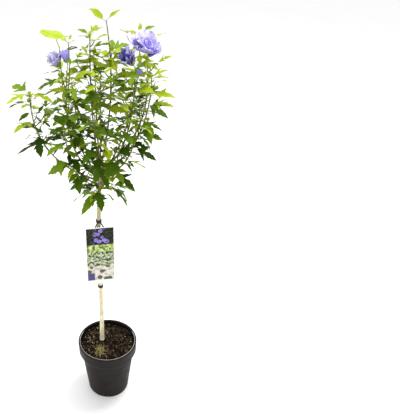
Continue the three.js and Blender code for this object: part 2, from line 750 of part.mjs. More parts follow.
function makePot() {
  const { wall, floor, height, rimRadius, collarFoot, collarFootRadius, shoulder, footChamfer } = POT;
  const profile = [
    [0, 0],
    [POT.baseRadius - footChamfer, 0],
    [potRadius(footChamfer), footChamfer],
    [POT.shoulderRadius, shoulder],
    [collarFootRadius - 1, collarFoot - 2],
    [collarFootRadius, collarFoot],
    [rimRadius - 0.6, height - 1],
    [rimRadius - 1.2, height],
    [rimRadius - wall - 0.4, height],
    [collarFootRadius - wall, collarFoot],
    [POT.shoulderRadius - wall, shoulder],
    [potRadius(floor) - wall, floor],
    [0, floor],
  ];
  let pot = solidOf(latheUp(profile, POT.sides));
  for (let i = 0; i < POT.drains; i++) {
    const angle = (2 * Math.PI * i) / POT.drains;
    const drain = new THREE.CylinderGeometry(POT.drainRadius, POT.drainRadius, floor * 4, 10)
      .rotateX(Math.PI / 2)
      .translate(POT.drainCircle * Math.cos(angle), POT.drainCircle * Math.sin(angle), 0);
    pot = pot.subtract(solidOf(drain));
  }
  return pot;
}

// The soil fills the pot. Its top is lumpy, and level round the trunk's foot.
function makeSoil() {
  const gap = POT.wall + CLEARANCE + SOIL.play;
  const inner = (height) => {
    const share = (height - POT.shoulder) / (POT.collarFoot - POT.shoulder);
    const upper = (height - POT.collarFoot) / (POT.height - POT.collarFoot);
    if (height <= POT.shoulder) return potRadius(height) - gap;
    if (height <= POT.collarFoot) {
      return lerp(POT.shoulderRadius, POT.collarFootRadius, share) - gap;
    }
    return lerp(POT.collarFootRadius, POT.rimRadius - 0.4, upper) - gap;
  };
  const bottom = POT.floor + CLEARANCE;
  const edge = inner(SOIL.top) - 0.4;
  const profile = [
    [0, bottom],
    [inner(bottom), bottom],
    [inner(POT.shoulder), POT.shoulder],
    [inner(POT.collarFoot), POT.collarFoot],
    [edge, SOIL.top - SOIL.lump],
  ];
  for (let i = 1; i < SOIL.rings; i++) profile.push([edge * (1 - i / SOIL.rings), SOIL.top]);
  profile.push([0, SOIL.top]);
  const geometry = latheUp(profile, SOIL.sides);
  const place = geometry.attributes.position;
  for (let i = 0; i < place.count; i++) {
    const [x, y, z] = [place.getX(i), place.getY(i), place.getZ(i)];
    if (z < SOIL.top - 0.01) continue;
    const distance = Math.hypot(x - TRUNK.foot[0], y - TRUNK.foot[1]);
    const share = THREE.MathUtils.clamp((distance - SOIL.seat) / SOIL.fade, 0, 1);
    const lumps = Math.sin(x * 0.21 + 1.3) * Math.cos(y * 0.17);
    const ripples = 0.6 * Math.sin(x * 0.09 - y * 0.31);
    place.setZ(i, SOIL.top + (share * SOIL.lump * (lumps + ripples)) / 2);
  }
  return solidOf(geometry);
}

// A round bar between two points.
function bar(from, to, radius) {
  const along = to.clone().sub(from).normalize();
  const side = new THREE.Vector3(0, 1, 0);
  return solidOf(tube([from, to], [along, along], [radius, radius], side, 6));
}

// A band round the trunk at a height.
function bandRound(height, band, wall) {
  const inner = trunkRadius(height - band / 2) + CLEARANCE;
  const profile = [
    [inner, -band / 2],
    [inner + wall, -band / 2],
    [inner + wall, band / 2],
    [inner, band / 2],
    [inner, -band / 2],
  ];
  const middle = trunkMiddle(height);
  return solidOf(latheUp(profile, 14).translate(middle.x, middle.y, middle.z));
}

// The card's own frame: its top edge's middle, its level direction and the way it faces.
function cardFrame() {
  const middle = trunkMiddle(CARD.top);
  const right = outward(CARD.turn);
  const facing = outward(CARD.turn - 90);
  const top = new THREE.Vector3(middle.x + CARD.across, middle.y - CARD.standOff, CARD.top);
  return { top, right, facing };
}

function makeCard() {
  const { width, height, thickness, corner, holeSpan, holeDrop, holeRadius } = CARD;
  const [w, r] = [width / 2, corner];
  const outline = new THREE.Shape()
    .moveTo(-w + r, -height)
    .lineTo(w - r, -height)
    .absarc(w - r, -height + r, r, -Math.PI / 2, 0)
    .lineTo(w, -r)
    .absarc(w - r, -r, r, 0, Math.PI / 2)
    .lineTo(-w + r, 0)
    .absarc(-w + r, -r, r, Math.PI / 2, Math.PI)
    .lineTo(-w, -height + r)
    .absarc(-w + r, -height + r, r, Math.PI, Math.PI * 1.5);
  for (const sign of [-1, 1]) {
    const hole = new THREE.Path();
    outline.holes.push(hole.absarc((sign * holeSpan) / 2, -holeDrop, holeRadius, 0, 2 * Math.PI));
  }
  const settings = { depth: thickness, bevelEnabled: false, curveSegments: 4 };
  const geometry = new THREE.ExtrudeGeometry(outline, settings);
  const { top } = cardFrame();
  return solidOf(
    geometry
      .translate(0, 0, -thickness / 2)
      .rotateX(Math.PI / 2)
      .rotateZ(radians(CARD.turn))
      .translate(top.x, top.y, top.z),
  );
}

// The strap: a band round the trunk and two legs that end in pegs through the card's holes.
function makeStrap() {
  const { top, right, facing } = cardFrame();
  const middle = trunkMiddle(STRAP.height);
  const reach = trunkRadius(STRAP.height) + CLEARANCE + STRAP.wall / 2;
  const front = middle.clone().addScaledVector(facing, reach);
  const solids = [bandRound(STRAP.height, STRAP.band, STRAP.wall)];
  const behind = CARD.thickness / 2 + CLEARANCE + STRAP.leg;
  for (const sign of [-1, 1]) {
    const hole = top.clone()
      .addScaledVector(right, (sign * CARD.holeSpan) / 2)
      .addScaledVector(UP, -CARD.holeDrop);
    const knee = hole.clone().addScaledVector(facing, -behind);
    const start = front.clone().addScaledVector(right, sign * 2);
    const back = knee.clone().addScaledVector(facing, -STRAP.peg / 2);
    const end = hole.clone().addScaledVector(facing, CARD.thickness / 2 + STRAP.proud);
    solids.push(bar(start, knee, STRAP.leg / 2), bar(back, end, STRAP.peg));
  }
  return wasm.Manifold.union(solids);
}

// The tie: a second band round the trunk, with its knot at the front.
function makeTie() {
  const middle = trunkMiddle(TIE.height);
  const reach = trunkRadius(TIE.height) + CLEARANCE + TIE.knot * 0.4;
  const knot = new THREE.SphereGeometry(TIE.knot / 2, 6, 4)
    .rotateX(Math.PI / 2)
    .scale(1.3, 0.8, 1)
    .translate(middle.x + 1.5, middle.y - reach, middle.z);
  return bandRound(TIE.height, TIE.band, TIE.wall).add(solidOf(knot));
}

// ---------------------------------------------------------------- the assembly

function finish(color, roughness) {
  return new THREE.MeshStandardMaterial({ color, roughness, metalness: 0 });
}

const FINISH = {
  pot: finish(0x2b2b2a, 0.5),
  soil: finish(0x2d221a, 0.95),
  bark: finish(0xb9ab8e, 0.85),
  bough: finish(0x8f9468, 0.8),
  foliage: finish(0x5d8a24, 0.6),
  card: finish(0xf1f3ea, 0.35),
  strap: finish(0x1c1d1f, 0.5),
};

function named(name, solid, material) {
  const mesh = new THREE.Mesh(geometryOf(mainBody(solid)), material.clone());
  mesh.name = name;
  return mesh;
}

function assemble() {
  const group = new THREE.Group();
  group.name = "rose_of_sharon";
  const { boughs, masses } = grow();
  const trunkGrown = solidOf(trunkTube(CLEARANCE));
  group.add(named("pot", makePot(), FINISH.pot));
  group.add(named("soil", makeSoil(), FINISH.soil));
  group.add(named("trunk", solidOf(trunkTube(0)), FINISH.bark));
  group.add(named("card", makeCard(), FINISH.card));
  group.add(named("card_strap", makeStrap(), FINISH.strap));
  group.add(named("lower_tie", makeTie(), FINISH.strap));
  for (const { name, limb } of boughs) {
    const solid = solidOf(limbTube(limb, BOUGH.sides, BOUGH.steps)).subtract(trunkGrown);
    group.add(named("bough_" + name, solid, FINISH.bough));
  }
  for (const mass of masses) {
    const solids = [solidOf(limbTube(mass.stem, TWIG.sides, TWIG.steps))];
    for (const twig of mass.twigs) {
      solids.push(solidOf(limbTube(twig, TWIG.sides, TWIG.forkSteps)));
    }
    for (const leaf of mass.leaves) solids.push(solidOf(leafGeometry(leaf)));
    for (const flower of mass.blossom) solids.push(...blossomSolids(flower));
    const solid = wasm.Manifold.union(solids).subtract(trunkGrown);
    group.add(named("foliage_" + mass.row.name, solid, FINISH.foliage));
  }
  return group;
}

export default assemble();
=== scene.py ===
"""Rose of sharon in a nursery pot: the looks of the plant, its pot, its card and its ties.

Metres, +Z up, -Y the front, and the origin in the middle of the pot's flat underside. The plant
grows by the same rule as its solids, which works in millimetres, and is carried to finer twigs.
"""

import logging
from dataclasses import dataclass, field
from enum import Enum
from math import ceil, copysign, cos, exp, hypot, inf, pi, radians, sin, sqrt, tau
from typing import Callable, Optional, Sequence, Union

import bmesh
import bpy
import numpy as np
from mathutils import Matrix, Vector, noise


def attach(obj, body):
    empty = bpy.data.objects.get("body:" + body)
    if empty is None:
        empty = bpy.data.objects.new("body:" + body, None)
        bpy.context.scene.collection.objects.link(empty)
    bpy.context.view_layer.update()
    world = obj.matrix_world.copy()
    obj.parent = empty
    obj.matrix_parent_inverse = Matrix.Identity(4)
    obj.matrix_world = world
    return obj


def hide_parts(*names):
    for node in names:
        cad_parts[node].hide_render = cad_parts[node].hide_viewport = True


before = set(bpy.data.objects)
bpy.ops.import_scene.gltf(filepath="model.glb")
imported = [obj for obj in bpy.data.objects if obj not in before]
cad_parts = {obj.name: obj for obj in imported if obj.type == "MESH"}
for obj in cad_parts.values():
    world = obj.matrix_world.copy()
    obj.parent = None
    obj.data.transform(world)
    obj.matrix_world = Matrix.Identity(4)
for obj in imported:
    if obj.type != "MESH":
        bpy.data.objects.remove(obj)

LOG = logging.getLogger("rose_of_sharon")
BODY = "root"
MM = 0.001
FRAME_PIXELS = (400, 414)

Array = np.ndarray
Point = np.ndarray
Random = np.random.Generator
BMesh = bmesh.types.BMesh
Mesh = bpy.types.Mesh
Material = bpy.types.Material
Node = bpy.types.Node
NodeTree = bpy.types.NodeTree
Socket = bpy.types.NodeSocket
Sockets = dict[str, Socket]
Pair = tuple[float, float]
Pairs = tuple[Pair, ...]
Triple = tuple[float, float, float]
Colour = Triple
Value = Union[float, Sequence[float], Socket]
Inputs = dict[Union[int, str], Value]
Inks = tuple[Colour, ...]
Surface = Callable[[float, float], Sequence[float]]


# ---- the plant's rule of growth


UP = np.array([0.0, 0.0, 1.0])
GOLDEN_ANGLE = 137.5


def lerp(a: float, b: float, t: float) -> float:
    """The value a share t of the way from a to b."""
    return (1 - t) * a + t * b


def clamped(share: float) -> float:
    """A share, kept between 0 and 1."""
    return min(1.0, max(0.0, share))


def outward(azimuth: float) -> Point:
    """The level direction of an azimuth in degrees."""
    angle = radians(azimuth)
    return np.array([cos(angle), sin(angle), 0.0])


def heading(azimuth: float, pitch: float) -> Point:
    """The direction of an azimuth and a pitch above the level, in degrees."""
    angle = radians(pitch)
    return outward(azimuth) * cos(angle) + UP * sin(angle)


def unit(vector: Point) -> Point:
    """The vector at length one."""
    return vector / np.linalg.norm(vector)


def turned_about(vector: Point, axis: Point, degrees: float) -> Point:
    """A vector turned about a unit axis by some degrees, by the right-hand rule."""
    c, s = cos(radians(degrees)), sin(radians(degrees))
    return vector * c + np.cross(axis, vector) * s + axis * np.dot(axis, vector) * (1 - c)


class Dice:
    """A repeatable series of numbers for one mass."""

    def __init__(self, seed: int) -> None:
        """Starts the series at a seed."""
        self.state = seed
        for _ in range(3):
            self.draw()

    def draw(self) -> float:
        """The next number between 0 and 1."""
        self.state = (self.state * 48271) % 2147483647
        return self.state / 2147483647

    def between(self, low: float, high: float) -> float:
        """The next number between two limits."""
        return low + (high - low) * self.draw()

    def within(self, reach: float) -> float:
        """The next number no further than reach from zero."""
        return self.between(-reach, reach)


@dataclass(frozen=True)
class Tip:
    """The leaves that end a stem: how many, over what arc, their size, pitch and turn to the front."""

    leaves: int
    start: float
    arc: float
    share: float
    pitch: float
    open: float


class Tips(Enum):
    """The ways in which a stem may end."""

    NONE = Tip(0, 0, 0, 0, 0, 0)
    PAIR = Tip(2, 0, 180, 0.66, 30, 12)
    FAN = Tip(3, -55, 110, 0.9, -4, 18)
    SHOOT = Tip(2, 0, 180, 0.62, 40, 48)
    WHORL = Tip(4, 0, 270, 0.54, 30, 34)
    BROAD = Tip(1, 0, 0, 1, 20, -24)


class Bloom(Enum):
    """How far a flower is open."""

    OPEN = "open"
    HALF = "half"
    ROLLED = "rolled"
    BUD = "bud"


@dataclass(frozen=True)
class StemRow:
    """One stem: where it leaves the trunk, where its tip is, its bend and what it bears."""

    name: str
    start: float
    azimuth: float
    spread: float
    top: float
    elbow: Pair
    leaves: int
    size: float
    phase: float
    tip: Tips
    seed: int = 0
    bare: float = 0.0
    leaf_end: float = 0.94

    def curve(self, start: Point, turn: float = 0) -> "Curve":
        """The row's bend from a start, turned by some degrees."""
        return bend(start, self.azimuth + turn, self.spread, self.top, self.elbow)


@dataclass(frozen=True)
class BlossomRow:
    """One flower: its stem or fork, where on it, which way it faces, its stalk and its width."""

    on: str
    fork: int
    at: float
    azimuth: float
    lift: float
    stalk: float
    width: float
    bloom: Bloom


LOW = (0.7, 0.3)
STEMS = (
    StemRow("far_left", 722, 187, 154, 950, (1.04, 0.26), 6, 58, 194, Tips.FAN, 11, 0.5),
    StemRow("tall_left", 741, 176, 66, 1014, (1.5, 0.12), 7, 58, 200, Tips.NONE, 23, 0.42),
    StemRow("back_left", 730, 138, 122, 972, (0.98, 0.34), 7, 58, 100, Tips.PAIR, 31, 0.34),
    StemRow("mid_left", 752, 205, 62, 985, (0.9, 0.3), 7, 56, 40, Tips.PAIR, 43, 0.28),
    StemRow("front_left", 711, 222, 98, 892, (0.95, 0.3), 7, 60, 250, Tips.PAIR, 57, 0.25),
    StemRow("front", 732, 268, 82, 925, (0.95, 0.35), 7, 58, 132, Tips.PAIR, 61, 0.22),
    StemRow("front_right", 713, 306, 96, 902, (0.95, 0.3), 6, 60, 330, Tips.PAIR, 71, 0.25),
    StemRow("middle", 757, 282, 40, 1002, (0.8, 0.4), 9, 56, 10, Tips.PAIR, 83, 0.24),
    StemRow("young_left", 762, 124, 28, 1080, (1.6, 0.3), 7, 52, 330, Tips.WHORL, 97, 0.5),
    StemRow("leader", 756, 44, 30, 1108, (2.1, 0.5), 6, 56, 10, Tips.SHOOT, 101, 0.46, 0.66),
    StemRow("back", 742, 96, 118, 998, (0.98, 0.32), 8, 58, 80, Tips.PAIR, 113, 0.3),
    StemRow("back_right", 730, 41, 132, 1066, (0.98, 0.3), 7, 60, 10, Tips.WHORL, 127, 0.36),
    StemRow("violet_right", 748, 342, 90, 1017, (1.0, 0.24), 7, 56, 334, Tips.NONE, 131, 0.44),
    StemRow("bloom_right", 754, 14, 116, 1017, (1.2, 0.3), 7, 56, 0, Tips.NONE, 149, 0.46),
    StemRow("far_right", 738, 0, 124, 990, (1.0, 0.3), 7, 56, 350, Tips.PAIR, 157, 0.44),
    StemRow("low_right", 728, 334, 102, 905, (1.0, 0.3), 6, 52, 20, Tips.PAIR, 167, 0.34),
)
LOW_SHOOTS = (
    StemRow("foot_front", 692, 255, 30, 712, LOW, 5, 66, 215, Tips.PAIR, 173),
    StemRow("foot_left", 706, 214, 40, 736, LOW, 3, 62, 190, Tips.PAIR, 181),
    StemRow("foot_right", 700, 328, 36, 718, LOW, 4, 64, 340, Tips.PAIR, 193),
    StemRow("foot_back", 696, 80, 38, 722, LOW, 2, 62, 70, Tips.PAIR, 199),
)
FORKS = (
    (0.76, StemRow("tall_left", 0, 186, 9, 1053, (1.3, 0.4), 0, 92, 123, Tips.BROAD)),
    (0.72, StemRow("tall_left", 0, 350, 12, 1066, (1.2, 0.3), 2, 36, 60, Tips.WHORL)),
)
BLOSSOM = (
    BlossomRow("bloom_right", -1, 1, 300, 72, 19, 100, Bloom.OPEN),
    BlossomRow("violet_right", -1, 1, 196, 56, 8, 62, Bloom.HALF),
    BlossomRow("tall_left", 0, 0.58, 186, 60, 7, 60, Bloom.HALF),
    BlossomRow("tall_left", -1, 1, 190, 80, 6, 21, Bloom.ROLLED),
    BlossomRow("back", -1, 0.9, 84, 50, 12, 10, Bloom.BUD),
    BlossomRow("violet_right", -1, 1, 350, -42, 2, 14, Bloom.ROLLED),
    BlossomRow("back_left", -1, 0.9, 120, 60, 14, 9, Bloom.BUD),
    BlossomRow("far_left", -1, 0.9, 270, 40, 12, 8, Bloom.BUD),
)


@dataclass(frozen=True)
class Curve:
    """A bend of three points."""

    start: Point
    elbow: Point
    tip: Point

    def point(self, t: float) -> Point:
        """The point at a share t of the bend."""
        k = 1 - t
        return self.start * (k * k) + self.elbow * (2 * k * t) + self.tip * (t * t)

    def tangent(self, t: float) -> Point:
        """The unit direction at a share t of the bend."""
        step = 1e-4
        return unit(self.point(min(1, t + step)) - self.point(max(0, t - step)))

    def length(self) -> float:
        """The length of the whole bend."""
        points = np.array([self.point(i / 200) for i in range(201)])
        return float(np.linalg.norm(np.diff(points, axis=0), axis=1).sum())


def bend(start: Point, azimuth: float, spread: float, top: float, elbow: Pair) -> Curve:
    """The curve of a stem that starts at a point and bends up to its tip.

    Args:
        start: its first point.
        azimuth: the way it leans, in degrees.
        spread: how far out its tip is.
        top: the height of its tip.
        elbow: what the bend is drawn towards, as shares of spread and rise.

    Returns:
        The curve.
    """
    out = outward(azimuth)
    rise = top - start[2]
    drawn = start + out * (spread * elbow[0]) + UP * (rise * elbow[1])
    return Curve(start, drawn, start + out * spread + UP * rise)


@dataclass(frozen=True)
class Limb:
    """A stretch of stem: its curve, the shares that are used, its radii and a level side vector."""

    curve: Curve
    side: Point
    first: float
    last: float
    radius: float
    tip_radius: float

    def point(self, share: float) -> Point:
        """The middle of the limb at a share of its length."""
        return self.curve.point(lerp(self.first, self.last, share))

    def direction(self, share: float) -> Point:
        """The direction of the limb at a share of its length."""
        return self.curve.tangent(lerp(self.first, self.last, share))

    def radius_at(self, share: float) -> float:
        """The radius of the limb at a share of its length."""
        return lerp(self.radius, self.tip_radius, share)

    def length(self) -> float:
        """The length of the limb."""
        return self.curve.length() * (self.last - self.first)

    def stations(self, count: int) -> tuple[Array, Array, Array]:
        """The shares, middles and radii of the limb where it is cut into equal stretches."""
        shares = np.linspace(0, 1, count + 1)
        return shares, np.array([self.point(s) for s in shares]), np.array([self.radius_at(s) for s in shares])

    def balls(self, spacing: float, skip: int = 0) -> "Balls":
        """The balls that stand for the limb, no further apart than a spacing, less some at its foot."""
        count = max(2, ceil(self.length() / spacing))
        shares = [i / count for i in range(skip, count + 1)]
        return Balls.of([(self.point(s), self.radius_at(s), False) for s in shares])


@dataclass
class Balls:
    """Balls that stand for a limb, a leaf or a flower: middles, radii, and which are near a root."""

    centres: Array
    radii: Array
    near: Array

    @classmethod
    def of(cls, rows: Sequence[tuple[Point, float, bool]]) -> "Balls":
        """Balls from rows of middle, radius and nearness to a root."""
        centres, radii, near = zip(*rows)
        return cls(np.array(centres), np.array(radii, dtype=float), np.array(near, dtype=bool))


@dataclass(frozen=True)
class TrunkRule:
    """The trunk's sizes: an even taper with a flare at the soil and a swell under the boughs."""

    soil: float = 171
    top: float = 776
    foot: Pair = (-17.2, 14)
    head: Pair = (-7, 2)
    foot_radius: float = 6.4
    head_radius: float = 4.9
    flare: float = 0.9
    flare_height: float = 12
    swell: float = 0.5
    swell_height: float = 742
    swell_reach: float = 26
    sway: float = 1.6
    sway_bends: float = 2.4

    def share(self, height: float) -> float:
        """How far up the trunk a height is."""
        return (height - self.soil) / (self.top - self.soil)

    def middle(self, height: float) -> Point:
        """The middle of the trunk at a height."""
        share = self.share(height)
        sway = self.sway * sin(share * pi * self.sway_bends)
        across = lerp(self.foot[0], self.head[0], share**3) + sway
        return np.array([across, lerp(self.foot[1], self.head[1], share) - 0.6 * sway, height])

    def radius(self, height: float) -> float:
        """The radius of the trunk at a height."""
        flare = self.flare * exp(-(height - self.soil) / self.flare_height)
        swell = self.swell * exp(-(((height - self.swell_height) / self.swell_reach) ** 2))
        return lerp(self.foot_radius, self.head_radius, self.share(height)) + flare + swell


@dataclass(frozen=True)
class GrowthRule:
    """How limbs, twigs and leaves are sized and kept apart, in millimetres and degrees."""

    clearance: float = 0.3
    bough_radius: float = 2.6
    bough_tip: float = 1.7
    twig_tip: float = 0.8
    fork_radius: float = 1.2
    spacing: float = 3.5
    clear: float = 1.3
    own_share: float = 0.8
    room: float = 120
    canopy_foot: float = 640
    canopy_top: float = 1060
    turns: tuple[float, ...] = (0, 38, -38, 76, -76, 115, -115, 155)
    sprig_at: tuple[float, ...] = (0.16, 0.52)
    sprig_length: Pair = (34, 52)
    sprig_out: float = 0.62
    sprig_up: float = 0.78
    sprig_elbow: Pair = (0.8, 0.35)
    sprig_leaf: float = 0.8
    dense: Pair = (720, 960)
    open_from: float = 1045
    fine_leaf: Pair = (0.42, 0.72)
    fine_broader: float = 1.3
    fine_retry: float = 0.65
    spur_length: Pair = (16, 30)
    spur_leaf: float = 0.7
    young_leaves: int = 10
    young_leaf: Pair = (0.5, 0.8)
    fork_leaves: int = 3
    fork_leaf: Pair = (0.4, 0.7)
    petiole: float = 0.28
    petiole_radius: float = 0.8
    fold: float = 0.22
    droop: float = 0.16
    low_pitch: float = -62
    high_pitch: float = 12
    pitch_bend: float = 0.5

    def pitch_at(self, height: float) -> float:
        """How a leaf at a height hangs: down at the foot of the canopy, and soon level above it."""
        rise = (height - self.canopy_foot) / (self.canopy_top - self.canopy_foot)
        return lerp(self.low_pitch, self.high_pitch, clamped(rise) ** self.pitch_bend)


TRUNK = TrunkRule()
RULE = GrowthRule()
MOST_BALLS = 200_000
LEAF_BALLS = (
    (0.08, 0, 0.06), (0.23, 0, 0.09), (0.41, 0, 0.1), (0.59, 0, 0.1), (0.77, 0, 0.09),
    (0.94, 0, 0.06), (0.3, 0.16, 0.09), (0.37, 0.31, 0.08), (0.39, 0.42, 0.04), (0.63, 0.15, 0.08),
)
BLOOM_ROOM = {Bloom.OPEN: (0.34, 0.42), Bloom.HALF: (0.42, 0.42), Bloom.ROLLED: (0.8, 0.7), Bloom.BUD: (0.8, 0.7)}


class Space:
    """What has been placed so far, as balls, each with its owner."""

    def __init__(self) -> None:
        """Starts with nothing placed."""
        self.count = 0
        self.centres = np.zeros((MOST_BALLS, 3))
        self.radii = np.zeros(MOST_BALLS)
        self.owners = np.zeros(MOST_BALLS, dtype=int)
        self.near, self.leafy = np.zeros((2, MOST_BALLS), dtype=bool)
        self.names: dict[str, int] = {}

    def owner(self, name: str) -> int:
        """The number of an owner."""
        return self.names.setdefault(name, len(self.names))

    def add(self, balls: Balls, name: str, leafy: bool = False) -> None:
        """Places balls for an owner, and says whether they are a leaf's."""
        at = slice(self.count, self.count + len(balls.radii))
        self.centres[at], self.radii[at], self.near[at] = balls.centres, balls.radii, balls.near
        self.owners[at], self.leafy[at] = self.owner(name), leafy
        self.count = at.stop

    def clear(self, balls: Balls, name: str) -> bool:
        """Whether new balls touch nothing: an owner's own leaves may come a little closer.

        Args:
            balls: the new balls.
            name: their owner.

        Returns:
            True if they touch nothing.
        """
        low = (balls.centres - balls.radii[:, None]).min(axis=0) - RULE.clear
        high = (balls.centres + balls.radii[:, None]).max(axis=0) + RULE.clear
        middles, radii = self.centres[: self.count], self.radii[: self.count]
        close = ((middles + radii[:, None] > low) & (middles - radii[:, None] < high)).all(axis=1)
        own = (self.owners[: self.count] == self.owner(name))[close]
        reach = balls.radii[:, None] + radii[None, close]
        inner = np.where(self.leafy[: self.count][close], RULE.own_share, 1.0) * reach
        wanted = np.where(own, inner, reach + RULE.clear)
        apart = ((balls.centres[:, None, :] - middles[None, close]) ** 2).sum(axis=2)
        ignored = own & (balls.near[:, None] | self.near[None, : self.count][:, close])
        return bool(((apart > wanted**2) | ignored).all())


@dataclass
class Leaf:
    """A leaf: where its stalk leaves the twig, the twig's way there, how its blade points, its length and age."""

    root: Point
    along: Point
    azimuth: float
    pitch: float
    twist: float
    length: float
    age: float = 1.0

    def __post_init__(self) -> None:
        """Finds the frame of the blade."""
        rising = unit(outward(self.azimuth) * 0.8 + self.along * 0.6)
        self.base = self.root + rising * (self.length * RULE.petiole)
        self.forward = heading(self.azimuth, self.pitch)
        self.across = turned_about(outward(self.azimuth - 90), self.forward, self.twist)
        self.normal = np.cross(self.across, self.forward)

    def at(self, along: float, across: float) -> Point:
        """A point of the blade, from shares of its length along and across."""
        lift = RULE.fold * abs(across) - RULE.droop * along * along
        return self.base + self.length * (self.forward * along + self.across * across + self.normal * lift)

    def balls(self) -> Balls:
        """The balls that stand for the leaf."""
        rows = []
        for along, out, radius in LEAF_BALLS:
            for across in (out, -out) if out > 0 else (0,):
                rows.append((self.at(along, across), radius * self.length, along < 0.15))
        for share in (0.2, 0.4, 0.6, 0.8, 1):
            centre = self.root + (self.base - self.root) * share
            rows.append((centre, RULE.petiole_radius, True))
        return Balls.of(rows)


@dataclass
class Fork:
    """A twig with the leaves that it bears."""

    limb: Limb
    leaves: int
    size: float
    phase: float
    tip: Tips


@dataclass
class Flower:
    """A flower in its place."""

    row: BlossomRow
    root: Point
    base: Point
    facing: Point


